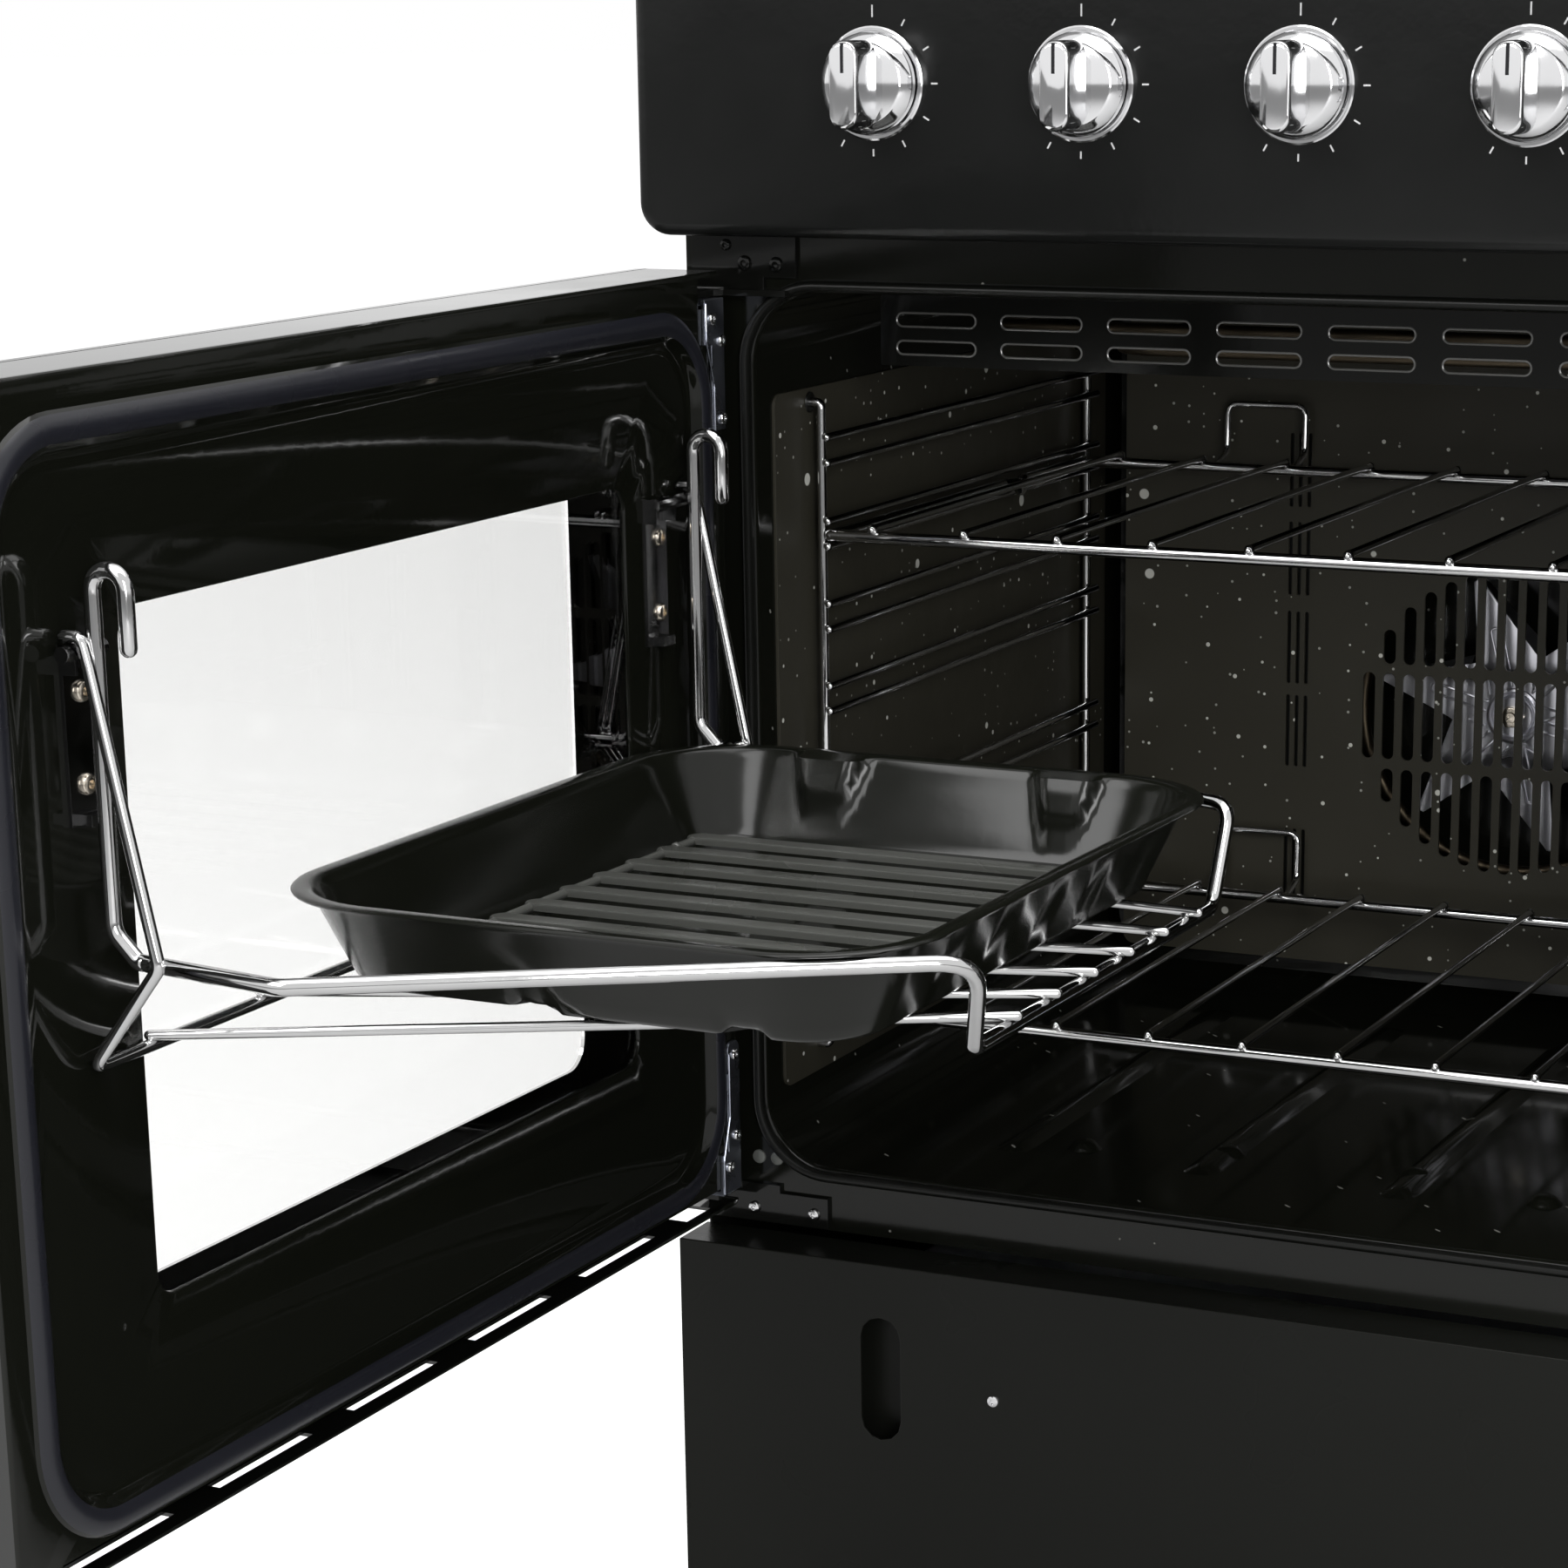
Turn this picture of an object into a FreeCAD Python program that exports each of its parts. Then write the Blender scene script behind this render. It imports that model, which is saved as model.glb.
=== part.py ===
import FreeCAD, Part
import math
import os

V = FreeCAD.Vector

# Range cooker with two ovens side by side. Millimetres, +Z up, +Y to the back, +X to the right.
# Origin: on the floor, midway between the sides, midway between front frame and back panel.

# ---------------------------------------------------------------- driving dimensions
overall_width = 1100.0
body_depth = 556.0            # front frame plane to the outside of the back panel
hob_height = 905.0            # floor to the top edge of the hob tray
hob_tray_height = 38.0
panel_height = 130.0          # control panel
mouth_drop = 26.8             # control panel's lower edge to the top of the oven mouth
sheet = 1.5                   # enamelled and painted sheet
running_gap = 0.3             # between parts that move past each other
contact = 0.3                 # between a resting part and its seat
front_reach = 45.0            # control panel and hob stand this far in front of the frame

plinth_setback = 35.0
base_z = 80.0                 # underside of the base tray
base_upstand = 15.0
foot_inset_x = 70.0
foot_inset_y = 80.0
foot_radius = 22.0
foot_stem = 8.0
base_floor = 2.0

# oven mouth, measured in its own column
mouth_margin = 33.0           # column edge to the mouth
mouth_height = 405.6
mouth_radius = 32.0
cavity_depth = 430.0
seal_width = 6.0
seal_height = 5.0
face_below_mouth = 30.0

# ladders and shelves, heights are below the top of the mouth
ladder_offset = 40.4          # column edge to the ladder's upright wires
ladder_front = 53.0
ladder_back = 375.0
ladder_wire = 4.5
rail_wire = 4.0
rail_pair_gap = 11.9
rail_levels = [69.4, 108.0, 146.6, 185.2, 247.6, 335.1]
ladder_top = 52.0
ladder_bottom = 362.0
shelf_wire = 3.6
shelf_rod = 6.0
shelf_wire_count = 10
shelf_wire_space = 21.6       # side rod to the first wire
shelf_front = 51.0
shelf_back = 355.0
hoop_height = 31.0
hoop_back = 21.0
hoop_near = 111.8             # hoop legs from the oven's middle
hoop_far = 154.8

# panels inside the left oven
liner_thickness = 1.5
liner_front = 17.0
liner_back = 372.0
liner_top = 47.5
liner_height = 326.0
back_panel_y = 383.0
back_panel_margin = 60.0
back_panel_top = 42.0
back_panel_bottom = 381.5
fan_drop = 242.0
fan_radius = 70.0
fan_slot_pitch = 10.9
fan_slot_width = 5.4
fan_grille_radius = 80.0
fan_row_half = 22.0
fan_blades = 9
rib_offset = 116.0
shaft_radius = 3.0
shaft_clearance = 0.05
vent_y = 66.0
vent_margin = 65.2
vent_height = 37.2
vent_slot_length = 39.5
vent_slot_pitch = 52.0
vent_slot_height = 6.2
vent_rows = [16.4, 29.0]
element_rod = 6.5

# doors, in the door's own frame: s from the hinge axis towards the free edge, off towards the oven
hinge_inset = 11.65           # column edge to the hinge axis
hinge_forward = 20.1          # frame plane to the hinge axis
door_open_angle = 90.7        # as photographed
door_edge = 9.65              # hinge axis to the door's hinge-side edge
door_gap = 2.35               # free edge to the column edge
door_top = 10.0               # above the mouth's top
door_bottom = 424.5
door_outer_off = -30.0
glass_thickness = 4.0
door_rim_off = 11.0
door_bead_off = 14.6
door_field_off = 8.5
bead_width = 14.0
bead_inset = 20.0
bead_radius = 46.0
window_near = 77.0
window_far_margin = 94.0       # from the door's free edge
window_top = 75.1
window_bottom = 334.0
window_radius = 12.0
inner_glass_lap = 9.0
handle_radius = 10.0
handle_standoff = 45.0
handle_drop = 38.0
handle_inset = 58.0
pin_radius = 3.0
pin_clearance = 0.06
arm_thickness = 3.0
bracket_thickness = 2.5
arm_half_width = 8.0
arm_level_top = 1.5           # top hinge arm's upper face, above the mouth's top
arm_level_bottom = 419.0      # bottom hinge arm's underside, below the mouth's top
tab_thickness = 2.5
strap_thickness = 1.5
strap_length = 58.0

# wire rack that hangs on the left door, door frame coordinates
rack_rod = 6.3
rack_strut_rod = 5.0
rack_wire = 4.0
rack_off = 21.0
rack_near = 38.0
rack_far_margin = 64.5         # from the door's free edge
rack_rim_drop = 195.5
rack_base_drop = 236.0
rack_hook_top = 57.0
rack_hook_end = 84.0
rack_pin_drop = 86.0
rack_pin_off = 14.0
rack_wire_count = 6

rack_near_reach = 285.0       # how far the rack stands out from the hinge plane of the door
rack_far_reach = 302.0
rack_plate_width = 18.0
rack_plate_low = 148.0
rack_plate_high = 88.0
rack_ear_sheet = 2.0
rack_ear_reach = 1.5          # past the axis of the pin it holds
rack_ear_depth = 8.0          # below that axis
rack_seat_gap = 0.4

tin_near = 46.0
tin_far_margin = 144.0        # from the door's free edge
tin_off_low = 16.0
tin_off_high = 283.0
tin_rim_drop = 190.0
tin_rim_width = 7.0
tin_flare = 19.0
tin_radius = 54.0
tin_sheet = 1.2

grid_bar = 7.0
grid_pitch = 19.0
grid_height = 3.0
grid_foot = 5.0

# drawer under the ovens
drawer_top_gap = 3.3          # oven faces' lower edge down to the drawer front
drawer_front_y = -29.5
drawer_bottom = 98.0
drawer_box_width = 1010.0
drawer_box_depth = 455.0
drawer_box_height = 95.0
drawer_slot_x = 104.5
drawer_slot_width = 20.0
drawer_slot_length = 60.0
drawer_slot_drop = 26.0

# hob
hob_edge_radius = 8.0
hob_recess = 8.0
flue_height = 24.0
burner_x = 365.0
burner_front_y = 118.0
burner_back_y = 362.0
wok_y = 240.0
burner_sizes = [38.0, 30.0, 62.0, 48.0, 38.0]
support_bar = 9.0
support_height = 44.0
support_half_width = 168.0
support_front = 20.0
support_back = 460.0

# controls
knob_radius = 21.0
knob_depth = 28.0
knob_grip = 13.0
knob_margins = [115.0, 210.0, 305.0, 400.0]   # from the nearer side
knob_face_gap = 2.0
spindle_radius = 4.0
spindle_clearance = 0.05
clock_width = 150.0
clock_height = 50.0
button_radius = 5.0
button_pitch = 30.0
button_travel = 2.0
hand_rail_radius = 9.0
hand_rail_standoff = 45.0
gas_pipe_radius = 8.0
inlet_radius = 10.5
inlet_length = 18.0
gland_radius = 10.0
gland_z = 640.0
gas_controls = [0, 1, 2, 5, 6]    # the other knobs work the ovens' switches

# ---------------------------------------------------------------- places worked out from the dimensions
left = -overall_width / 2
right = overall_width / 2
column = overall_width / 2
front = -body_depth / 2
back = body_depth / 2
panel_top = hob_height - hob_tray_height
panel_bottom = panel_top - panel_height
mouth_top = panel_bottom - mouth_drop
mouth_bottom = mouth_top - mouth_height
face_bottom = mouth_bottom - face_below_mouth
drawer_top = face_bottom - drawer_top_gap
hinge_y = front - hinge_forward
knob_z = panel_bottom + panel_height / 2
knob_x = [left + x for x in knob_margins] + [right - x for x in reversed(knob_margins)]
panel_front = front - front_reach
fan_z = mouth_top - fan_drop
door_far = column - hinge_inset - door_gap
window_far = door_far - window_far_margin
rack_far = door_far - rack_far_margin
tin_far = door_far - tin_far_margin
hob_floor = hob_height - hob_recess
inlet_x = right - 60
gland_x = left + 90


# ---------------------------------------------------------------- helpers
# Small turned parts and corners are drawn with flat sides, to keep the solids light.
turned_sides = 12
corner_steps = 3


def box(x0, x1, y0, y1, z0, z1):
    low = V(min(x0, x1), min(y0, y1), min(z0, z1))
    return Part.makeBox(abs(x1 - x0), abs(y1 - y0), abs(z1 - z0), low)


def polygon_face(points):
    return Part.Face(Part.makePolygon(list(points) + [points[0]]))


def rounded_points(u0, u1, v0, v1, radius, place):
    """Corners of a rounded rectangle in a plane; place turns (u, v) into a point."""
    if radius <= 0:
        return [place(u0, v0), place(u1, v0), place(u1, v1), place(u0, v1)]
    points = []
    corners = [(u1 - radius, v0 + radius, -90), (u1 - radius, v1 - radius, 0),
               (u0 + radius, v1 - radius, 90), (u0 + radius, v0 + radius, 180)]
    for cu, cv, start in corners:
        for k in range(corner_steps + 1):
            a = math.radians(start + 90 * k / corner_steps)
            points.append(place(cu + radius * math.cos(a), cv + radius * math.sin(a)))
    return points


def between(low, high):
    """Solid between two outlines that have parallel sides."""
    faces = [polygon_face(low), polygon_face(high)]
    for i in range(len(low)):
        j = (i + 1) % len(low)
        faces.append(polygon_face([low[i], low[j], high[j], high[i]]))
    return closed_solid(faces)


def closed_solid(faces):
    solid = Part.makeSolid(Part.makeShell(faces))
    if solid.Volume < 0:
        solid.reverse()
    return solid


def plate_y(x0, x1, z0, z1, radius, y0, y1):
    """Rounded rectangular prism along Y."""
    outline = rounded_points(x0, x1, z0, z1, radius, lambda u, v: V(u, y0, v))
    return polygon_face(outline).extrude(V(0, y1 - y0, 0))


def plate_z(x0, x1, y0, y1, radius, z0, z1):
    """Rounded rectangular prism along Z."""
    outline = rounded_points(x0, x1, y0, y1, radius, lambda u, v: V(u, v, z0))
    return polygon_face(outline).extrude(V(0, 0, z1 - z0))


def cylinder(radius, start, end):
    """True cylinder, for faces that a part from outside fits."""
    axis = end - start
    return Part.makeCylinder(radius, axis.Length, start, axis)


def rod(radius, start, end, sides=turned_sides):
    """Flat-sided rod whose corners lie on the radius."""
    return bent_rod([start, end], 2 * radius, sides)


def hole(radius, start, end, sides=turned_sides):
    """Flat-sided hole that a rod of this radius turns in."""
    return bent_rod([start, end], 2 * radius / math.cos(math.pi / sides), sides)


def wire_rod(start, end, diameter):
    """Straight wire with a square section as wide as the wire."""
    return bent_rod([start, end], diameter * math.sqrt(2), 4)


def bent_rod(points, diameter, sides=6):
    """Wire bent through the points, with mitred corners."""
    axis = (points[1] - points[0]).normalize()
    side = axis.cross(V(0, 0, 1))
    if side.Length < 0.1:
        side = V(1, 0, 0)
    side = side.normalize()
    up = side.cross(axis).normalize()
    ring = []
    for i in range(sides):
        a = 2 * math.pi * (i + 0.5) / sides
        ring.append(points[0] + side * (math.cos(a) * diameter / 2) + up * (math.sin(a) * diameter / 2))
    profile = Part.makePolygon(ring + [ring[0]])
    if len(points) == 2:
        return Part.Face(profile).extrude(points[1] - points[0])
    sweep = Part.BRepOffsetAPI.MakePipeShell(Part.makePolygon(points))
    sweep.setTransitionMode(1)
    sweep.add(profile, False, False)
    sweep.build()
    sweep.makeSolid()
    return sweep.shape()


def turned(profile, place, sides=turned_sides):
    """Turned part: profile is (radius, height) from one end to the other, place turns (x, y, height) into a point."""
    turns = [2 * math.pi * (i + 0.5) / sides for i in range(sides)]
    rings = [[place(r * math.cos(a), r * math.sin(a), h) for a in turns] for r, h in profile]
    faces = [polygon_face(rings[0]), polygon_face(rings[-1])]
    for low, high in zip(rings, rings[1:]):
        for i in range(sides):
            j = (i + 1) % sides
            faces.append(polygon_face([low[i], low[j], high[j], high[i]]))
    return closed_solid(faces)


def turned_z(profile, centre):
    return turned(profile, lambda x, y, h: centre + V(x, y, h))


def turned_y(profile, centre):
    return turned(profile, lambda x, z, h: centre + V(x, h, z))


def fuse(shapes):
    shapes = list(shapes)
    result = shapes[0]
    if len(shapes) > 1:
        result = shapes[0].multiFuse(shapes[1:])
    return result.removeSplitter()


def cut(shape, tools):
    tools = list(tools)
    return shape.cut(tools).removeSplitter() if tools else shape


def mirrored(shape):
    return shape.mirror(V(0, 0, 0), V(1, 0, 0))


def upright_slot(x, z, width, height, y0, y1):
    """Slot with rounded ends through a sheet that lies across Y."""
    outline = rounded_points(x - width / 2, x + width / 2, z - height / 2, z + height / 2, width / 2 - 0.1,
                             lambda u, v: V(u, y0, v))
    return polygon_face(outline).extrude(V(0, y1 - y0, 0))


def ring_rod(radius, centre, thickness, sides=12):
    """Closed ring of wire that lies across Y."""
    rings = []
    for r in (radius + thickness / 2, radius - thickness / 2):
        points = [centre + V(r * math.cos(2 * math.pi * i / sides), -thickness / 2,
                             r * math.sin(2 * math.pi * i / sides)) for i in range(sides)]
        rings.append(polygon_face(points).extrude(V(0, thickness, 0)))
    return rings[0].cut(rings[1])


nodes = {}


def keep(name, shape):
    nodes[name] = shape


# ---------------------------------------------------------------- carcass
def make_carcass():
    low = base_z + base_upstand
    flange = 14
    side = fuse([box(right - sheet, right, front + sheet, back - sheet, low, panel_top),
                 box(right - flange, right, front + sheet, back - sheet, low, low + sheet)])
    keep("side_panels", Part.makeCompound([side, mirrored(side)]))

    panel = box(left, right, back - sheet, back, low, panel_top)
    slots = []
    for row in range(2):
        for i in range(6):
            x = left + 150 + i * (overall_width - 300) / 5
            z = panel_top - 40 - row * 18
            slots.append(box(x - 45, x + 45, back - 2 * sheet, back + 1, z - 4, z + 4))
    holes = [hole(gas_pipe_radius + 2, V(inlet_x, back - 5, knob_z), V(inlet_x, back + 5, knob_z)),
             cylinder(gland_radius, V(gland_x, back - 5, gland_z), V(gland_x, back + 5, gland_z))]
    keep("back_panel", cut(panel, slots + holes))

    tray = box(left, right, front + sheet, back, base_z, low)
    tray = tray.cut(box(left + sheet, right - sheet, front + 2 * sheet, back - sheet, base_z + base_floor, low + 1))
    keep("base_tray", tray.removeSplitter())

    inset = 12
    y0 = front + plinth_setback
    keep("plinth", fuse([
        box(left + inset, right - inset, y0, y0 + sheet, inset, base_z),
        box(left + inset, left + inset + sheet, y0, y0 + 40, inset, base_z),
        box(right - inset - sheet, right - inset, y0, y0 + 40, inset, base_z),
        box(left + inset, right - inset, y0, y0 + 14, base_z - sheet, base_z),
    ]))

    feet = []
    for x in (left + foot_inset_x, right - foot_inset_x):
        for y in (front + foot_inset_y, back - foot_inset_y):
            profile = [(foot_radius, 0), (foot_radius, 5), (foot_stem, 11), (foot_stem, base_z)]
            feet.append(turned_z(profile, V(x, y, 0)))
    keep("levelling_feet", Part.makeCompound(feet))


# ---------------------------------------------------------------- hob
def burner_places():
    front_y = front + burner_front_y
    back_y = front + burner_back_y
    spots = [(-burner_x, front_y), (-burner_x, back_y), (0, front + wok_y), (burner_x, front_y), (burner_x, back_y)]
    return [(x, y, r) for (x, y), r in zip(spots, burner_sizes)]


def make_hob():
    tray = plate_z(left, right, panel_front, back, hob_edge_radius, panel_top, hob_height)
    tray = tray.cut(box(left + sheet, right - sheet, panel_front + sheet, back - sheet,
                        panel_top - 1, hob_floor - sheet))
    tray = tray.cut(plate_z(left + 11, right - 11, panel_front + 24, back - 50, 26, hob_floor, hob_height + 1))
    holes = [hole(r * 0.62, V(x, y, hob_floor - 5), V(x, y, hob_height + 5)) for x, y, r in burner_places()]
    tray = cut(tray, holes)
    flue_front = back - 36
    flue_top = hob_height + flue_height
    flue = box(left + 60, right - 60, flue_front, back - 4, hob_height - 0.5, flue_top)
    flue = flue.cut(box(left + 60 + sheet, right - 60 - sheet, flue_front + sheet, back - 4 - sheet,
                        hob_height - 1, flue_top - sheet))
    slots = []
    for i in range(8):
        x = left + 130 + i * (overall_width - 260) / 7
        slots.append(box(x - 42, x + 42, flue_front - 1, flue_front + 3, hob_height + 8, hob_height + 16))
    keep("hob_tray", fuse([tray, cut(flue, slots)]))

    cups, crowns, caps = [], [], []
    for x, y, r in burner_places():
        c = V(x, y, hob_floor)
        cups.append(turned_z([(0.6 * r, -20), (0.6 * r, 0), (1.08 * r, 0), (1.08 * r, 4), (0.9 * r, 9)], c))
        crowns.append(turned_z([(0.86 * r, 9), (0.98 * r, 20)], c))
        caps.append(turned_z([(0.92 * r, 20), (0.92 * r, 23.5), (0.78 * r, 26)], c))
    keep("burner_cups", Part.makeCompound(cups))
    keep("burner_crowns", Part.makeCompound(crowns))
    keep("burner_caps", Part.makeCompound(caps))


def make_pan_support(name, centre_x, burners):
    """Cast grid on four legs: a frame with fingers that point at each burner."""
    top = hob_floor + support_height
    b = support_bar
    x0 = centre_x - support_half_width
    x1 = centre_x + support_half_width
    y0 = front + support_front
    y1 = front + support_back
    low = top - 26
    high = low + 13
    bars = [box(x0, x1, y0, y0 + b, low, high), box(x0, x1, y1 - b, y1, low, high),
            box(x0, x0 + b, y0, y1, low, high), box(x1 - b, x1, y0, y1, low, high)]
    for x in (x0, x1 - b):
        for y in (y0, y1 - b):
            bars.append(box(x, x + b, y, y + b, hob_floor + contact, low + 1))
    middle = (y0 + y1) / 2
    if len(burners) == 2:
        bars.append(box(x0, x1, middle - b / 2, middle + b / 2, low, high))
    for x, y, r in burners:
        low_y = y0 if len(burners) == 1 or y < middle else middle
        high_y = y1 if len(burners) == 1 or y > middle else middle
        reach = 0.45 * r + 8
        for tip, root in ((x - reach, x0), (x + reach, x1)):
            bars.append(finger(V(root, y, 0), V(tip, y, 0), low, top))
        for tip, root in ((y - reach, low_y), (y + reach, high_y)):
            bars.append(finger(V(x, root, 0), V(x, tip, 0), low, top))
        if len(burners) == 1:
            corner = support_half_width - 2
            for sx in (-1, 1):
                for sy in (-1, 1):
                    tip = V(x + sx * reach * 0.8, y + sy * reach * 0.8, 0)
                    bars.append(finger(V(x + sx * corner, y + sy * corner, 0), tip, low, top))
            for y in (burners[0][1] - corner, burners[0][1] + corner):
                bars.append(box(x0, x1, y - b / 2, y + b / 2, low, high))
    keep(name, fuse(bars))


def finger(root, tip, low, top):
    """Cast finger that rises from the frame bar to the pan and ends over the burner's edge."""
    along = (tip - root).normalize()
    across = V(-along.y, along.x, 0) * (support_bar / 2 - 0.5)
    length = (tip - root).Length
    outline = [(0, low), (length * 0.55, low + 2), (length, top - 12), (length, top), (14, top), (0, low + 13)]
    start = [root + along * u + V(0, 0, z) - across for u, z in outline]
    return polygon_face(start).extrude(across * 2)


# ---------------------------------------------------------------- controls
def make_controls():
    shell = plate_y(left, right, panel_bottom, panel_top, 14, panel_front, front)
    shell = shell.fuse(box(left, right, panel_front, front, panel_top - 16, panel_top))
    inner = plate_y(left + sheet, right - sheet, panel_bottom + sheet, panel_top + 20, 12.5,
                    panel_front + sheet, front + 1)
    holes = [hole(spindle_radius + 2, V(x, panel_front - 1, knob_z), V(x, panel_front + 5, knob_z)) for x in knob_x]
    holes.append(box(-clock_width / 2 + 6, clock_width / 2 - 6, panel_front - 1, panel_front + 3,
                     knob_z - clock_height / 2 + 6, knob_z + clock_height / 2 - 6))
    keep("control_panel", cut(shell, [inner] + holes))

    tap_front = panel_front + sheet + 1
    bearing = 8.0
    back_of_knob = panel_front - knob_face_gap
    for i, x in enumerate(knob_x):
        disc = turned_y([(knob_radius, back_of_knob), (knob_radius, back_of_knob - 6),
                         (knob_radius - 4, back_of_knob - 9)], V(x, 0, knob_z))
        grip = box(x - knob_grip / 2, x + knob_grip / 2, back_of_knob - knob_depth, back_of_knob - 5,
                   knob_z - knob_radius + 3, knob_z + knob_radius - 3)
        spindle = rod(spindle_radius, V(x, back_of_knob - 1, knob_z), V(x, tap_front + bearing - contact, knob_z))
        keep("knob_%d" % (i + 1), fuse([disc, grip, spindle]))

    rail_y = front + 20
    tube = gas_pipe_radius
    gear = [rod(tube, V(knob_x[0] - 25, rail_y, knob_z), V(inlet_x + tube, rail_y, knob_z)),
            rod(tube, V(inlet_x, rail_y, knob_z), V(inlet_x, back + 2, knob_z)),
            cylinder(inlet_radius, V(inlet_x, back + 1, knob_z), V(inlet_x, back + 1 + inlet_length, knob_z))]
    bores = []
    for i, x in enumerate(knob_x):
        bores.append(hole(spindle_radius + spindle_clearance, V(x, tap_front - 1, knob_z),
                          V(x, tap_front + bearing, knob_z)))
        gear.append(box(x - 12, x + 12, panel_front + sheet, tap_front + 2, knob_z + 8, knob_z + 14))
        if i in gas_controls:
            gear.append(box(x - 11, x + 11, tap_front, rail_y - tube + 3, knob_z - 11, knob_z + 14))
        else:
            gear.append(box(x - 20, x + 20, tap_front, rail_y - tube + 3, knob_z - 20, knob_z + 20))
    keep("control_gear", cut(fuse(gear), bores))

    w = clock_width / 2
    h = clock_height / 2
    button_z = knob_z - 12
    bezel = 2.5
    module = fuse([box(-w, w, panel_front - bezel, panel_front, knob_z - h, knob_z + h),
                   box(-w + 7, w - 7, panel_front - 1, panel_front + 26, knob_z - h + 7, knob_z + h - 7)])
    module = module.cut(box(-w + 12, w - 12, panel_front - bezel - 1, panel_front - 1.5, knob_z - 2, knob_z + h - 5))
    wells = [hole(button_radius + 0.2, V(k * button_pitch, panel_front - 3, button_z),
                  V(k * button_pitch, panel_front + 8, button_z)) for k in (-1, 0, 1)]
    keep("clock_module", cut(module, wells))
    for k in (-1, 0, 1):
        button = rod(button_radius, V(k * button_pitch, panel_front - bezel - 2, button_z),
                     V(k * button_pitch, panel_front + 8 - button_travel - contact, button_z))
        keep("clock_button_%d" % (k + 2), button)

    bar_y = panel_front - hand_rail_standoff
    bar_z = panel_top - 14
    posts = []
    for x in (left + 40, 0, right - 40):
        posts.append(turned_y([(11, panel_front), (8, panel_front - 4), (6, bar_y)], V(x, 0, bar_z)))
    bar = rod(hand_rail_radius, V(left + 18, bar_y, bar_z), V(right - 18, bar_y, bar_z))
    keep("hand_rail", fuse([bar] + posts))


# ---------------------------------------------------------------- ovens
def make_oven(name, col):
    """Fixed pieces of one oven whose column starts at x = col; pieces of both ovens are gathered by the caller."""
    x0 = col + mouth_margin
    x1 = col + column - mouth_margin
    cx = col + column / 2
    shell = plate_y(x0 - sheet, x1 + sheet, mouth_bottom - sheet, mouth_top + sheet, mouth_radius + sheet,
                    front, front + cavity_depth + sheet)
    face = box(col, col + column, front, front + sheet, face_bottom, panel_bottom + 20)
    skirt = box(col + sheet, col + column - sheet, front, front + 16, face_bottom, face_bottom + sheet)
    inside = plate_y(x0, x1, mouth_bottom, mouth_top, mouth_radius, front - 1, front + cavity_depth)
    cavity = fuse([shell, face, skirt]).cut(inside)
    ridges = []
    for k in (-1.5, -0.5, 0.5, 1.5):
        points = [V(cx + k * 96 + u, front + 60, mouth_bottom + w) for u, w in ((-9, -0.5), (-4, 3), (4, 3), (9, -0.5))]
        ridges.append(polygon_face(points).extrude(V(0, 290, 0)))
    cavity = fuse([cavity] + ridges)
    if name == "left":
        cavity = cut(cavity, [hole(shaft_radius + 3, V(cx, front + cavity_depth - 5, fan_z),
                                   V(cx, front + cavity_depth + 5, fan_z))])
    keep("oven_cavity_" + name, cavity)

    ring = plate_y(x0 - seal_width, x1 + seal_width, mouth_bottom - seal_width, mouth_top + seal_width,
                   mouth_radius + seal_width, front - seal_height, front)
    seal = ring.cut(plate_y(x0, x1, mouth_bottom, mouth_top, mouth_radius, front - seal_height - 1, front + 1))

    z1 = mouth_top - liner_top
    liners = [box(a, a + liner_thickness, front + liner_front, front + liner_back, z1 - liner_height, z1)
              for a in (x0, x1 - liner_thickness)]
    ladders = []
    for wall, side in ((x0, 1), (x1, -1)):
        offset = ladder_offset - mouth_margin
        ladders += make_ladder(wall + side * offset, side, wall + side * liner_thickness)
    return [seal], liners, ladders


def make_ladder(x, side, wall):
    """Shelf ladder: two upright wires on pegs, and pairs of rails welded to them."""
    y0 = front + ladder_front
    y1 = front + ladder_back
    half = ladder_wire / 2
    parts = []
    for y in (y0, y1):
        upright = box(x - half, x + half, y - half, y + half, mouth_top - ladder_bottom, mouth_top - ladder_top)
        pegs = [box(wall, x, y - half + 0.2, y + half - 0.2, z - 2, z + 2)
                for z in (mouth_top - ladder_top - 3, mouth_top - ladder_bottom + 3)]
        parts.append(fuse([upright] + pegs))
    near = x + side * half
    for level in rail_levels:
        for drop in (0, rail_pair_gap):
            z = mouth_top - level - drop
            parts.append(box(near, near + side * rail_wire, y0 - 3, y1 + 3, z - rail_wire / 2, z + rail_wire / 2))
    return parts


def make_shelf(col, level):
    """Wire shelf that rests on the lower rail of a pair: rods round the edge, wires across, two hoops at the back."""
    cx = col + column / 2
    reach = column / 2 - ladder_offset - ladder_wire / 2 - contact - shelf_rod / 2
    low_rail = mouth_top - level - rail_pair_gap
    z = low_rail + rail_wire / 2 + contact + shelf_rod / 2
    y0 = front + shelf_front
    y1 = front + shelf_back
    parts = [wire_rod(V(cx - reach, y0, z), V(cx + reach, y0, z), shelf_rod),
             wire_rod(V(cx - reach, y1, z), V(cx + reach, y1, z), shelf_rod)]
    for side in (-1, 1):
        x = cx + side * reach
        parts.append(wire_rod(V(x, y0 - 3, z), V(x, y1 + 3, z), shelf_rod))
    top = z + shelf_rod / 2 + shelf_wire / 2 - 0.5
    pitch = 2 * (reach - shelf_wire_space) / (shelf_wire_count - 1)
    for i in range(shelf_wire_count):
        x = cx + (i - (shelf_wire_count - 1) / 2) * pitch
        parts.append(wire_rod(V(x, y0 - 3, top), V(x, y1 + 3, top), shelf_wire))
    for side in (-1, 1):
        inner = cx + side * hoop_near
        outer = cx + side * hoop_far
        y2 = y1 + hoop_back
        parts.append(bent_rod([V(inner, y1, z), V(inner, y2, z + hoop_height), V(outer, y2, z + hoop_height),
                               V(outer, y1, z)], shelf_wire, 4))
    return fuse(parts)


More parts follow.
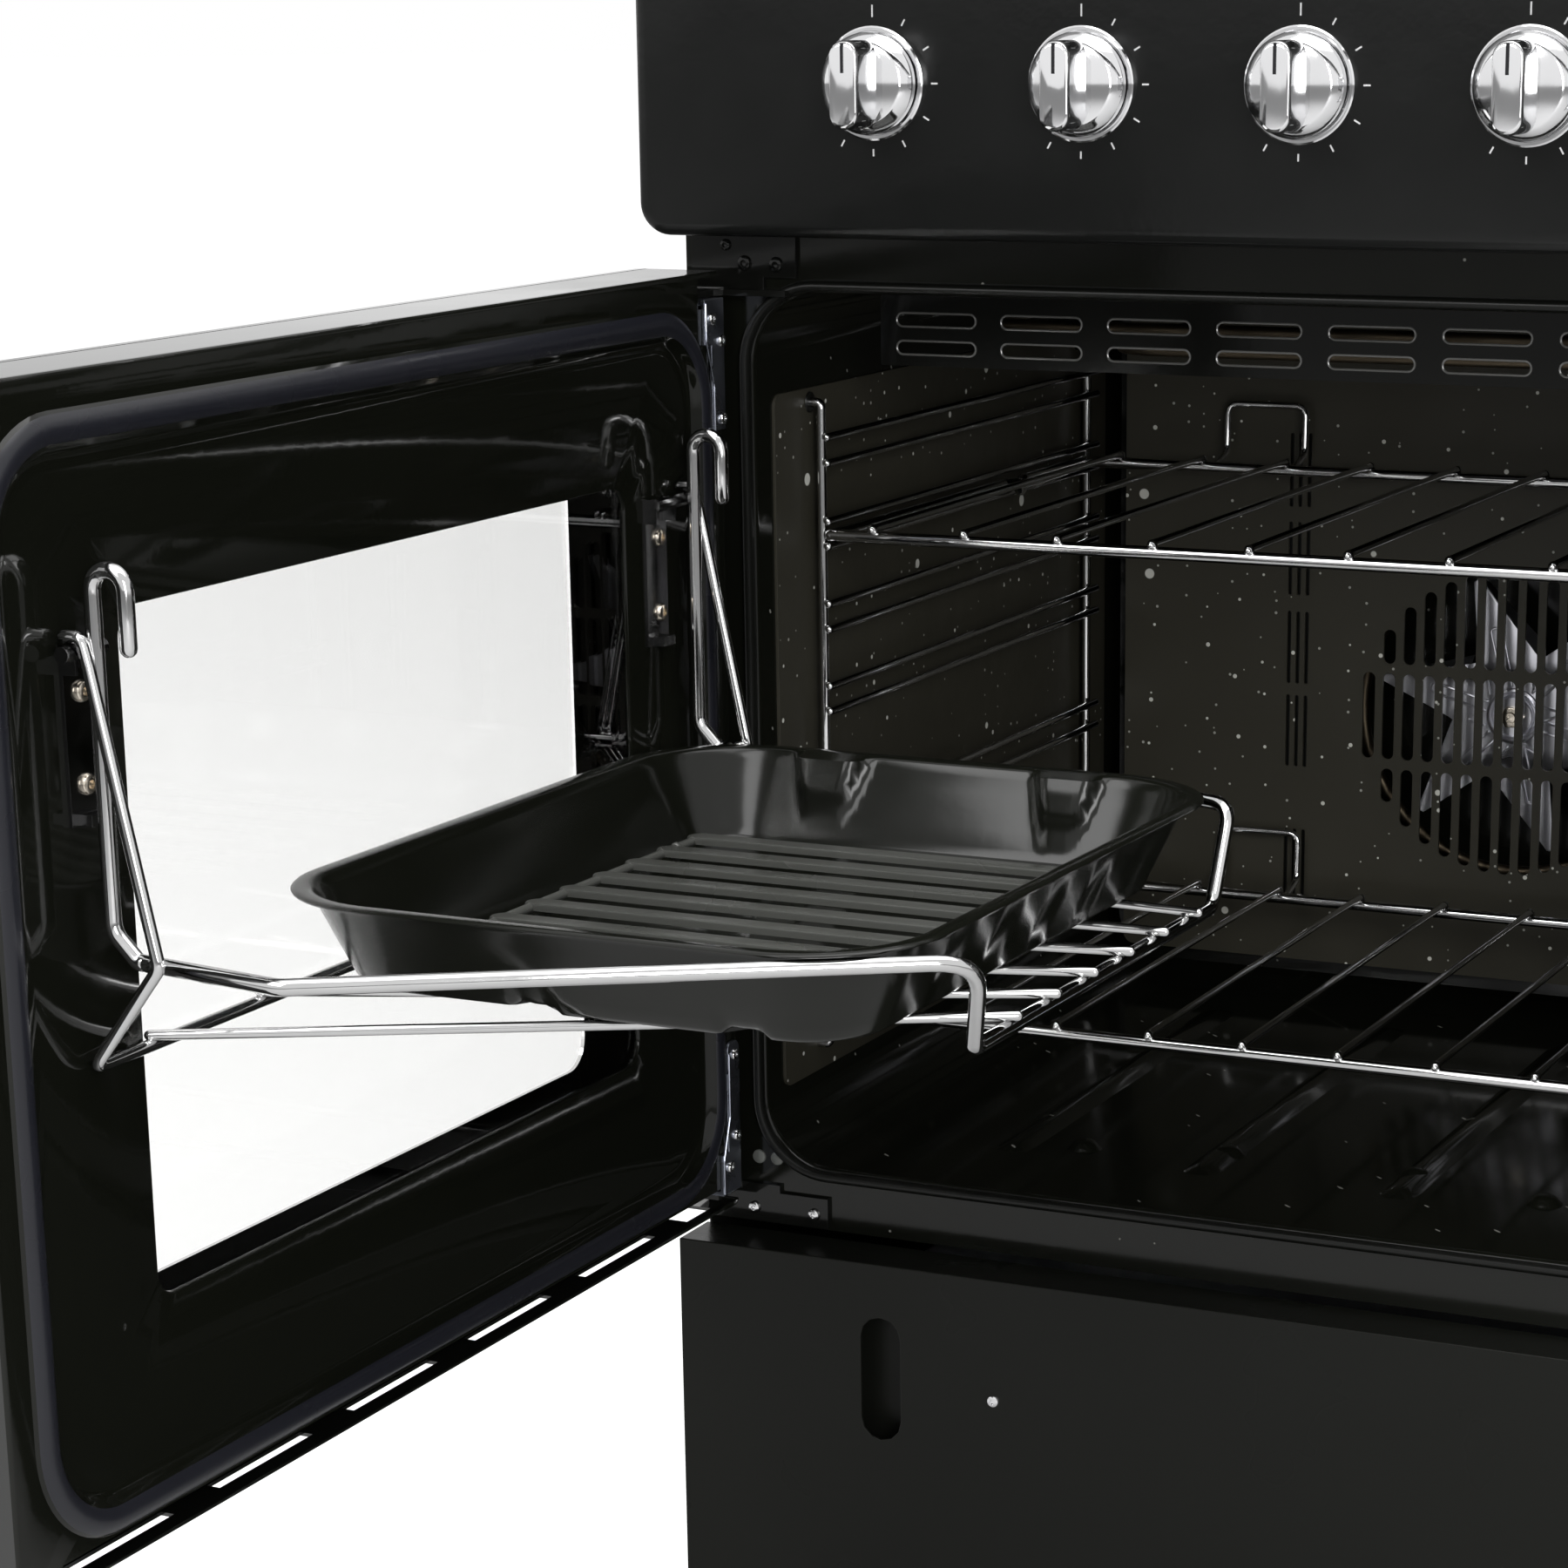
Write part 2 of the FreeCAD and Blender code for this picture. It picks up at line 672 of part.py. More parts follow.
def make_ovens():
    seals, liners, ladders = [], [], []
    for name, col in (("left", left), ("right", left + column)):
        more = make_oven(name, col)
        seals += more[0]
        liners += more[1]
        ladders += more[2]
    keep("oven_seals", Part.makeCompound(seals))
    keep("oven_side_liners", Part.makeCompound(liners))
    keep("shelf_ladders", Part.makeCompound(ladders))
    keep("shelf_upper", make_shelf(left, rail_levels[1]))
    keep("shelf_lower", make_shelf(left, rail_levels[5]))
    keep("shelf_right_oven", make_shelf(left + column, rail_levels[3]))

    keep("grill_element", make_loops(left + column / 2))
    keep("roof_element_right", make_loops(left + 1.5 * column))
    make_fan_end(left + column / 2)
    make_vent_cover(left + column / 2)


def make_loops(cx):
    """Two element loops under the oven's roof, fixed in its back wall."""
    loops = []
    y1 = front + cavity_depth
    for reach, y_front, drop in ((180, 96, 18), (120, 120, 27)):
        z = mouth_top - drop
        loops.append(bent_rod([V(cx - reach, y1, z), V(cx - reach, front + y_front, z),
                               V(cx + reach, front + y_front, z), V(cx + reach, y1, z)], element_rod))
    return Part.makeCompound(loops)


def make_vent_cover(cx):
    half = column / 2 - vent_margin
    y0 = front + vent_y
    low = mouth_top - vent_height
    cover = fuse([box(cx - half, cx + half, y0, y0 + sheet, low, mouth_top),
                  box(cx - half, cx + half, y0, y0 + 16, mouth_top - sheet, mouth_top),
                  box(cx - half, cx + half, y0, y0 + 8, low, low + sheet)])
    w = vent_slot_length / 2
    h = vent_slot_height / 2
    slots = []
    for i in range(8):
        x = cx + (i - 3.5) * vent_slot_pitch
        for drop in vent_rows:
            z = mouth_top - drop
            slots.append(box(x - w, x + w, y0 - 1, y0 + sheet + 1, z - h, z + h))
    keep("vent_cover", cut(cover, slots))


def make_fan_end(cx):
    """Back panel with the fan grille, boxed to the cavity wall, and the fan, its element and motor behind it."""
    half = column / 2 - back_panel_margin
    y0 = front + back_panel_y
    y1 = front + cavity_depth
    z0 = mouth_top - back_panel_bottom
    z1 = mouth_top - back_panel_top
    panel = box(cx - half, cx + half, y0, y1, z0, z1)
    panel = panel.cut(box(cx - half + sheet, cx + half - sheet, y0 + sheet, y1 + 1, z0 + sheet, z1 - sheet))
    slots = []
    count = int(fan_grille_radius / fan_slot_pitch)
    w = fan_slot_width / 2
    for i in range(-count, count + 1):
        x = cx + i * fan_slot_pitch
        rise = math.sqrt(fan_grille_radius ** 2 - (i * fan_slot_pitch) ** 2)
        spans = [(-min(fan_row_half, rise), min(fan_row_half, rise))]
        if rise > fan_row_half + 16:
            spans += [(fan_row_half + 5, rise), (-rise, -fan_row_half - 5)]
        for a, b in spans:
            slots.append(box(x - w, x + w, y0 - 1, y0 + sheet + 1, fan_z + a, fan_z + b))
    panel = cut(panel, slots)
    ribs = [box(cx + side * rib_offset - 5, cx + side * rib_offset + 5, y0 - 1.5, y0 + 0.5, fan_z - 48, fan_z + 132)
            for side in (-1, 1)]
    keep("oven_back_panel", fuse([panel] + ribs))

    outside = y1 + sheet
    motor = turned_y([(42, outside), (42, outside + 12), (34, outside + 12.5), (34, outside + 52)], V(cx, 0, fan_z))
    bearing = hole(shaft_radius + shaft_clearance, V(cx, outside - 1, fan_z), V(cx, outside + 26, fan_z))
    keep("fan_motor", motor.cut(bearing))

    element_y = y0 + 18
    element = [ring_rod(fan_radius + 15, V(cx, element_y, fan_z), element_rod)]
    z = fan_z + fan_radius + 12
    for x in (cx - 12, cx + 12):
        element.append(box(x - 3, x + 3, element_y, y1, z - 3, z + 3))
    keep("fan_element", fuse(element))

    hub = y0 + 8
    disc_y = hub + 14
    centre = V(cx, 0, fan_z)
    parts = [turned_y([(fan_radius - 16, disc_y), (fan_radius - 16, disc_y + 1.4)], centre),
             turned_y([(9, hub + 6), (9, disc_y + 4)], centre)]
    for i in range(fan_blades):
        blade = box(20, fan_radius, 0, 14.7, -0.7, 0.7)
        blade.rotate(V(45, 0, 0), V(0, 1, 0), 14)
        wing = box(fan_radius - 26, fan_radius, 14, 15.4, -9, 9)
        both = blade.fuse(wing)
        both.rotate(V(0, 0, 0), V(0, 1, 0), 360.0 / fan_blades * i)
        both.translate(V(cx, hub, fan_z))
        parts.append(both)
    parts.append(rod(shaft_radius, V(cx, hub, fan_z), V(cx, outside + 26 - contact, fan_z)))
    keep("fan_impeller", fuse(parts))


# ---------------------------------------------------------------- doors, drawn closed as the left door
def door_x(s):
    return left + hinge_inset + s


def door_y(off):
    return hinge_y + off


def door_box(s0, s1, off0, off1, z0, z1):
    """Box in the door's frame; z is above the mouth's top."""
    return box(door_x(s0), door_x(s1), door_y(off0), door_y(off1), mouth_top + z0, mouth_top + z1)


def door_outline(s0, s1, z0, z1, radius, off):
    return rounded_points(door_x(s0), door_x(s1), mouth_top + z0, mouth_top + z1, radius,
                          lambda u, v: V(u, door_y(off), v))


def door_plate(s0, s1, z0, z1, radius, off0, off1):
    return polygon_face(door_outline(s0, s1, z0, z1, radius, off0)).extrude(V(0, off1 - off0, 0))


def hinge_notches():
    """Room in the door's hinge-side corners for the hinge arms."""
    below = arm_level_top - arm_thickness - tab_thickness - running_gap - 0.9
    above = -arm_level_bottom + arm_thickness + tab_thickness + running_gap + 0.9
    return [door_box(-door_edge - 1, 12, -15, 20, below, door_top - 2.6),
            door_box(-door_edge - 1, 12, -15, 20, -arm_level_bottom - 2.5, above)]


def keep_door(side, name, shape):
    """The left door stands open as photographed, the right door is its mirror image, closed."""
    keep("door_%s_%s" % (side, name), opened(shape) if side == "left" else mirrored(shape))


def opened(shape):
    turned_shape = shape.copy()
    turned_shape.rotate(V(door_x(0), hinge_y, 0), V(0, 0, 1), -door_open_angle)
    return turned_shape


def make_door(side):
    s0 = -door_edge
    s1 = door_far
    z0 = -door_bottom
    z1 = door_top
    pane = door_outer_off + glass_thickness
    rim_back = door_rim_off - sheet
    shell = door_box(s0, s1, pane, rim_back, z0, z1)
    inside = door_box(s0 + sheet, s1 - sheet, pane + sheet, door_rim_off, z0 + sheet, z1 - sheet)
    view = door_box(s0 + 40, s1 - 40, pane - 1, pane + 3, z0 + 40, z1 - 40)
    slots = []
    for i in range(9):
        s = 36 + i * (s1 - 70) / 8
        slots.append(door_box(s - 19, s + 19, -16, -8, z0 - 1, z0 + 3))
    keep_door(side, "skin", cut(shell, [inside, view] + slots + hinge_notches()))

    keep_door(side, "inner", make_door_pressing(s0, s1, z0, z1, rim_back))

    lap = inner_glass_lap
    inner_off = door_field_off - sheet
    panes = [door_box(s0, s1, door_outer_off, pane, z0, z1),
             door_box(window_near - lap, window_far + lap, inner_off - 4, inner_off,
                      -window_bottom - lap, -window_top + lap)]
    keep_door(side, "glazing", Part.makeCompound(panes))

    z = mouth_top - handle_drop
    bar_y = door_y(door_outer_off - handle_standoff)
    ends = [door_x(handle_inset), door_x(s1 - handle_inset)]
    parts = [rod(handle_radius, V(ends[0] - 22, bar_y, z), V(ends[1] + 22, bar_y, z))]
    for x in ends:
        parts.append(turned_y([(12, door_y(door_outer_off)), (9, door_y(door_outer_off) - 5), (7, bar_y)],
                              V(x, 0, z)))
    keep_door(side, "handle", fuse(parts))

    face = door_rim_off + strap_thickness
    narrow = (-9, 2.6, door_rim_off, face)
    wide = (-9, 9, door_rim_off, face)
    tab = (-7, 9, -7, face)
    high = arm_level_top - arm_thickness - running_gap
    low = -arm_level_bottom + arm_thickness + running_gap
    straps = [fuse([door_box(*narrow, high - strap_length, high), door_box(*wide, high - 20, high),
                    door_box(*tab, high - tab_thickness, high)]),
              fuse([door_box(*narrow, low, low + strap_length), door_box(*wide, low, low + 20),
                    door_box(*tab, low, low + tab_thickness)])]
    bore = hole(pin_radius + pin_clearance, V(door_x(0), hinge_y, mouth_bottom - 30),
                V(door_x(0), hinge_y, mouth_top + 30))
    keep_door(side, "hinge_straps", Part.makeCompound([strap.cut(bore) for strap in straps]))


def make_door_pressing(s0, s1, z0, z1, rim_back):
    """Inner face of the door: flat rim, raised bead all round, and a sunk field with the window cut out."""
    a = bead_inset - bead_width / 2
    b = bead_inset + bead_width / 2
    slope = 3.2
    rim = door_plate(s0, s1, z0, z1, 0, rim_back, door_rim_off)
    ridge = between(door_outline(s0 + a, s1 - a, z0 + a, z1 - a, bead_radius, rim_back),
                    door_outline(s0 + a + slope, s1 - a - slope, z0 + a + slope, z1 - a - slope,
                                 bead_radius - slope, door_bead_off))
    tray = door_plate(s0 + a + slope, s1 - a - slope, z0 + a + slope, z1 - a - slope, bead_radius - slope,
                      door_field_off - sheet, rim_back)
    hollow = between(door_outline(s0 + b, s1 - b, z0 + b, z1 - b, bead_radius - bead_width, door_field_off),
                     door_outline(s0 + b - slope, s1 - b + slope, z0 + b - slope, z1 - b + slope,
                                  bead_radius - bead_width + slope, door_bead_off + 0.01))
    window = door_plate(window_near, window_far, -window_bottom, -window_top, window_radius,
                        door_field_off - 5, door_field_off + 5)
    return cut(fuse([rim, ridge, tray]), [hollow, window] + hinge_notches())


def make_hinge_brackets():
    """Plates on the oven face, each with an arm and a pin, at the top and bottom of each door."""
    x = door_x(0)
    w = arm_half_width
    y0 = front - bracket_thickness
    arm_front = hinge_y - 6
    arm_top = mouth_top + arm_level_top
    arm_low = mouth_top - arm_level_bottom
    pin_tip = tab_thickness + 1.7 + running_gap
    top = [box(left + 4, left + 56, y0, front, mouth_top + seal_width + 0.5, panel_bottom - 0.3),
           box(x - w, left + 40, y0, front, arm_top - arm_thickness, mouth_top + seal_width + 1),
           box(x - w, x + w, arm_front, front, arm_top - arm_thickness, arm_top),
           rod(pin_radius, V(x, hinge_y, arm_top - arm_thickness - pin_tip), V(x, hinge_y, arm_top + 4.4))]
    bottom = [box(left + 8, left + 65, y0, front, face_bottom + 1, face_bottom + 16),
              box(x - w, left + 40, y0, front, face_bottom + 10, arm_low + arm_thickness),
              box(x - w, x + w, arm_front, front, arm_low, arm_low + arm_thickness),
              rod(pin_radius, V(x, hinge_y, arm_low), V(x, hinge_y, arm_low + arm_thickness + pin_tip))]
    brackets = [fuse(top), fuse(bottom)]
    keep("hinge_brackets", Part.makeCompound(brackets + [mirrored(b) for b in brackets]))


# ---------------------------------------------------------------- rack, tin and grid on the left door
def on_door(s, off, drop):
    return V(door_x(s), door_y(off), mouth_top - drop)


def make_rack():
    """Wire rack: a frame of thick rod that hooks over the pins, struts against the door, and wires under the tin."""
    brackets = []
    plate_back = door_field_off + 1.5
    half = rack_plate_width / 2
    near_middle = rack_near + half + 6
    far_middle = rack_far - half + 5
    for middle, pin0, pin1 in ((near_middle, rack_near - 11, near_middle + half),
                               (far_middle, far_middle - half, rack_far + 10.5)):
        s0, s1 = middle - half, middle + half
        plate = door_box(s0, s1, door_field_off, plate_back, -rack_plate_low, -rack_plate_high)
        ears = [door_box(s, s + rack_ear_sheet, door_field_off, rack_pin_off + rack_ear_reach,
                         -rack_pin_drop - rack_ear_depth, -rack_pin_drop + pin_radius - rack_seat_gap)
                for s in (s0, s1 - rack_ear_sheet)]
        pin = rod(pin_radius, on_door(pin0, rack_pin_off, rack_pin_drop), on_door(pin1, rack_pin_off, rack_pin_drop))
        foot = door_box(s0 + 4, s1 - 4, door_field_off, door_field_off + 7, -rack_plate_low, -rack_plate_low + 4)
        brackets.append(fuse([plate, pin, foot] + ears))
    keep("rack_brackets", Part.makeCompound([opened(b) for b in brackets]))

    rim = rack_rim_drop
    base = rack_base_drop
    peak = rack_hook_top

    def hanger(s):
        return [on_door(s, rack_off + 14, rack_hook_end), on_door(s, rack_off + 14, peak + 9),
                on_door(s, rack_off + 7, peak), on_door(s, rack_off, peak + 9),
                on_door(s, rack_off, rim - 10), on_door(s, rack_off + 10, rim)]
    corner = rack_far - 119.5
    path = hanger(rack_far)
    path += [on_door(rack_far + 10.5, 97, rim), on_door(corner, rack_far_reach, rim),
             on_door(corner - 30, rack_far_reach - 16, base), on_door(rack_near + 42, rack_near_reach - 2, base),
             on_door(rack_near + 28, rack_near_reach, rim), on_door(rack_near + 5, rack_near_reach - 60, rim),
             on_door(rack_near + 6, 62, rim)]
    path += reversed(hanger(rack_near))
    lift = rack_pin_drop - pin_radius - rack_strut_rod / 2 - rack_seat_gap
    beside = (rack_rod + rack_strut_rod) / 2 - 1

    def strut(s):
        return [on_door(s, door_field_off + 3.2, lift), on_door(s, rack_pin_off + 4.4, lift),
                on_door(s, rack_pin_off + 6.8, rack_pin_drop + 4), on_door(s, 43, rim), on_door(s, 12, base - 1)]
    struts = strut(rack_far + beside) + list(reversed(strut(rack_near - beside)))
    parts = [bent_rod(path, rack_rod), bent_rod(struts, rack_strut_rod)]
    wire_drop = base - rack_rod / 2 - rack_wire / 2 + 0.5
    last = rack_wire_count - 1
    for k in range(rack_wire_count):
        at_door = rack_far - 29.5 - 350 * k / last
        outside = corner - 62 - 180 * k / last
        parts.append(bent_rod([on_door(at_door, 11.5, wire_drop), on_door(outside, rack_near_reach + 4, wire_drop)],
                              rack_wire))
    keep("door_rack", opened(fuse(parts)))


def make_tin():
    """Roasting tin with flared walls, a flat rim and pressed flutes, and the slatted grid that stands in it."""
    rim_z = mouth_top - tin_rim_drop
    floor_z = mouth_top - (rack_base_drop - rack_rod / 2 - rack_wire + 0.5) + contact
    x0, x1 = door_x(tin_near), door_x(tin_far)
    y0, y1 = door_y(tin_off_low), door_y(tin_off_high)

    def outline(inset, z):
        return rounded_points(x0 + inset, x1 - inset, y0 + inset, y1 - inset, tin_radius - inset,
                              lambda u, v: V(u, v, z))
    top = tin_rim_width
    low = tin_rim_width + tin_flare
    outer = between(outline(low, floor_z), outline(top, rim_z - 1))
    inner = between(outline(low + tin_sheet, floor_z + tin_sheet), outline(top + tin_sheet, rim_z + 0.01))
    rim = polygon_face(outline(0, rim_z - 2)).extrude(V(0, 0, 2))
    flutes = []
    grooves = []
    height = rim_z - floor_z
    for x in (x0 + 92, x1 - 92):
        for y, inward in ((y0, 1), (y1, -1)):
            place = V(x, y + inward * (top + 3), 0)
            flutes.append(turned([(5, floor_z + 8), (12, rim_z - 1.5)], lambda u, v, h: place + V(u, v, h), 8))
            grooves.append(turned([(4, floor_z + 7), (11, rim_z - 2)], lambda u, v, h: place + V(u, v, h), 8))
    body = outer.fuse(rim).cut(inner)
    body = fuse([body] + [f.common(outer) for f in flutes]).cut(grooves)
    keep("roasting_tin", opened(body))

    low_z = floor_z + tin_sheet + contact
    z0 = low_z + grid_foot
    z1 = z0 + grid_height
    gx0, gx1 = x0 + low + 10, x1 - low - 10
    gy0, gy1 = y0 + low + 10, y1 - low - 10
    edge = 8
    count = int((gx1 - gx0 - grid_bar) / grid_pitch)
    parts = [box(gx0, gx1, gy0, gy0 + edge, z0, z1), box(gx0, gx1, gy1 - edge, gy1, z0, z1)]
    for i in range(count + 1):
        x = gx0 + i * (gx1 - gx0 - grid_bar) / count
        parts.append(box(x, x + grid_bar, gy0, gy1, z0, z1))
    for x in (gx0 + 19, gx1 - 27):
        for y in (gy0, gy1 - edge):
            parts.append(box(x, x + edge, y, y + edge, low_z, z0 + 1))
    keep("tin_grid", opened(fuse(parts)))


# ---------------------------------------------------------------- storage drawer
def make_drawer():
    y0 = front + drawer_front_y
    y1 = front - 1
    pull_x = overall_width / 2 - drawer_slot_x
    pull_z = drawer_top - drawer_slot_drop - drawer_slot_length / 2
    solid = [box(left, right, y0, y0 + sheet, drawer_bottom, drawer_top),
             box(left, right, y0, y1, drawer_top - sheet, drawer_top),
             box(left, left + sheet, y0, y1, drawer_bottom, drawer_top),
             box(right - sheet, right, y0, y1, drawer_bottom, drawer_top),
             box(left, right, y0, y1, drawer_bottom, drawer_bottom + sheet)]
    hollows = []
    for s in (-1, 1):
        x = s * pull_x
        solid.append(box(x - 18, x + 18, y0, y0 + 16, pull_z - 40, pull_z + 40))
        hollows.append(box(x - 16.5, x + 16.5, y0 + sheet, y0 + 14.5, pull_z - 38.5, pull_z + 38.5))
        hollows.append(upright_slot(x, pull_z, drawer_slot_width, drawer_slot_length, y0 - 1, y0 + 3))
    keep("drawer_front", cut(fuse(solid), hollows))

    half = drawer_box_width / 2
    z0 = drawer_bottom + 24
    z1 = z0 + drawer_box_height
    y0 += 16
    y1 = front + drawer_box_depth
    tray = box(-half, half, y0, y1, z0, z1)
    keep("drawer_box", tray.cut(box(-half + sheet, half - sheet, y0 + sheet, y1 - sheet, z0 + sheet, z1 + 1)))

    runners = []
    low = base_z + base_floor
    for s in (-1, 1):
        near = s * (half - 14)
        far = s * (half + 16)
        shelf_z = z0 - running_gap
        runners.append(fuse([box(far - s * sheet, far, front + 6, y1 + 8, low, z0 + 30),
                             box(near, far, front + 6, y1 + 8, shelf_z - sheet, shelf_z),
                             box(near, far, front + 6, y1 + 8, low, low + sheet)]))
    keep("drawer_runners", Part.makeCompound(runners))


# ---------------------------------------------------------------- build and write
def build():
    make_carcass()
    make_hob()
    places = burner_places()
    make_pan_support("pan_support_left", -burner_x, places[0:2])
    make_pan_support("pan_support_centre", 0, places[2:3])
    make_pan_support("pan_support_right", burner_x, places[3:5])
    make_controls()
    make_ovens()
    make_door("left")
    make_door("right")
    make_hinge_brackets()
    make_rack()
    make_tin()
    make_drawer()
    os.makedirs("parts", exist_ok=True)
    for name, shape in nodes.items():
        shape.exportStep("parts/" + name + ".step")
    print(len(nodes), "nodes written")


build()
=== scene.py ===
import math

import bmesh
import bpy
from mathutils import Matrix, Vector
from mathutils.geometry import delaunay_2d_cdt


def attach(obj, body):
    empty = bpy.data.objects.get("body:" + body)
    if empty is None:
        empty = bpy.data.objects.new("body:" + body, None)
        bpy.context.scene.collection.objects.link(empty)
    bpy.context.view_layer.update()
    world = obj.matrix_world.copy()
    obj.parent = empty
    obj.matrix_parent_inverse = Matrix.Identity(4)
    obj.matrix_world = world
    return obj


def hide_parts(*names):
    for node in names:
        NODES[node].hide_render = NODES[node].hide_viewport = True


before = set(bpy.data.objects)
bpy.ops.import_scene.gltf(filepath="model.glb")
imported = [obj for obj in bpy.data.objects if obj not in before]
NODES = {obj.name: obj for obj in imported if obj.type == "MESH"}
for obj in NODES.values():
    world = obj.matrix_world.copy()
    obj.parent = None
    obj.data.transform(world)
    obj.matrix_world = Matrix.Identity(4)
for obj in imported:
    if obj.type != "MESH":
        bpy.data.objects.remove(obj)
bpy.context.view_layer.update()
MM = 0.001

# -------- the CAD's own dimensions, in millimetres
LEFT, RIGHT, COLUMN = -550.0, 550.0, 550.0
FRONT, BACK = -278.0, 278.0
HOB_TOP, PANEL_TOP, PANEL_LOW = 905.0, 867.0, 737.0
MOUTH_TOP, MOUTH_LOW, FACE_LOW = 710.2, 304.6, 274.6
PANEL_FRONT = -323.0
DRAWER_FRONT = -307.5
HINGE_X, HINGE_Y = -538.35, -298.1
OPEN = math.radians(90.7)
DOOR_NEAR, DOOR_FAR, DOOR_LOW, DOOR_HIGH = -9.65, 536.0, -424.5, 10.0
FAN_Z = 468.2
BACK_PANEL = 105.0
LEVELS = [69.4, 108.0, 146.6, 185.2, 247.6, 335.1]


# -------- mesh making
def outline(u0, u1, v0, v1, radius, steps=10, side=1):
    """Rounded rectangle, counterclockwise, with the straight sides cut into equal runs."""
    radius = max(radius, 0.05)
    corners = [(u1 - radius, v0 + radius, -90), (u1 - radius, v1 - radius, 0),
               (u0 + radius, v1 - radius, 90), (u0 + radius, v0 + radius, 180)]
    points = []
    for i, (cu, cv, start) in enumerate(corners):
        for k in range(steps + 1):
            a = math.radians(start + 90 * k / steps)
            points.append((cu + radius * math.cos(a), cv + radius * math.sin(a)))
        nu, nv, begin = corners[(i + 1) % 4]
        a = math.radians(begin)
        end = (nu + radius * math.cos(a), nv + radius * math.sin(a))
        last = points[-1]
        for k in range(1, side):
            points.append((last[0] + (end[0] - last[0]) * k / side, last[1] + (end[1] - last[1]) * k / side))
    return points


def inset(box, by, radius, steps=10):
    """Rounded rectangle inside a box (u0, u1, v0, v1), or outside it where by is negative."""
    u0, u1, v0, v1 = box
    return outline(u0 + by, u1 - by, v0 + by, v1 - by, radius, steps)


def upright(shape, y):
    """Points of a flat shape that stands at this depth."""
    return [Vector((u, y, v)) for u, v in shape]


def lying(shape, z):
    return [Vector((u, v, z)) for u, v in shape]


def circle(cu, cv, radius, steps=32):
    return [(cu + radius * math.cos(2 * math.pi * i / steps), cv + radius * math.sin(2 * math.pi * i / steps))
            for i in range(steps)]


def slot(u0, u1, v0, v1):
    """Slot with half-round ends."""
    return outline(u0, u1, v0, v1, min(u1 - u0, v1 - v0) / 2 - 0.01, 6)


def smooth_path(points, radius, steps=7, wide=()):
    """Polyline with each inner corner turned into an arc; wide names the corners with twice the radius."""
    points = [Vector(p) for p in points]
    made = [points[0]]
    for i, (before, here, after) in enumerate(zip(points, points[1:], points[2:])):
        a, b = (before - here), (after - here)
        half = a.angle(b) / 2
        bend = radius * 2 if i + 1 in wide else radius
        cut = min(bend / math.tan(half), a.length * 0.49, b.length * 0.49)
        if cut < 0.05 or half > math.radians(89):
            made.append(here)
            continue
        start, end = here + a.normalized() * cut, here + b.normalized() * cut
        for k in range(steps + 1):
            t = k / steps
            made.append(start * (1 - t) ** 2 + here * 2 * t * (1 - t) + end * t * t)
    made.append(points[-1])
    return made


def filled(outer, holes):
    """Triangles between an outline and the holes in it: points, triangles, and each loop as point numbers."""
    points, loops = [], []
    for loop in [outer] + list(holes):
        turn = sum(a[0] * b[1] - b[0] * a[1] for a, b in zip(loop, list(loop[1:]) + list(loop[:1])))
        ordered = list(loop) if turn > 0 else list(reversed(loop))
        loops.append(list(range(len(points), len(points) + len(ordered))))
        points += [Vector(p) for p in ordered]
    flat, _, triangles, came_from, _, inside = delaunay_2d_cdt(points, [], loops, 1, 1e-4)
    number = {old: new for new, olds in enumerate(came_from) for old in olds}
    kept = [list(t) for t, within in zip(triangles, inside) if list(within) == [0]]
    return [(p.x, p.y) for p in flat], kept, [[number[i] for i in loop] for loop in loops]


def standing(x, y, z):
    """Place of a turned piece that stands up from this point."""
    return lambda a, b, h: Vector((x + a, y + b, z + h))


def fronted(x, y, z, back=1):
    """Place of a turned piece on the front: heights run to the back, or to the viewer where back is -1."""
    return lambda a, b, h: Vector((x + a, y + back * h, z + b))


def doored(place, s, off, z):
    """Place of a turned piece on a door."""
    return lambda a, b, h: place(s + a, off + h, z + b)


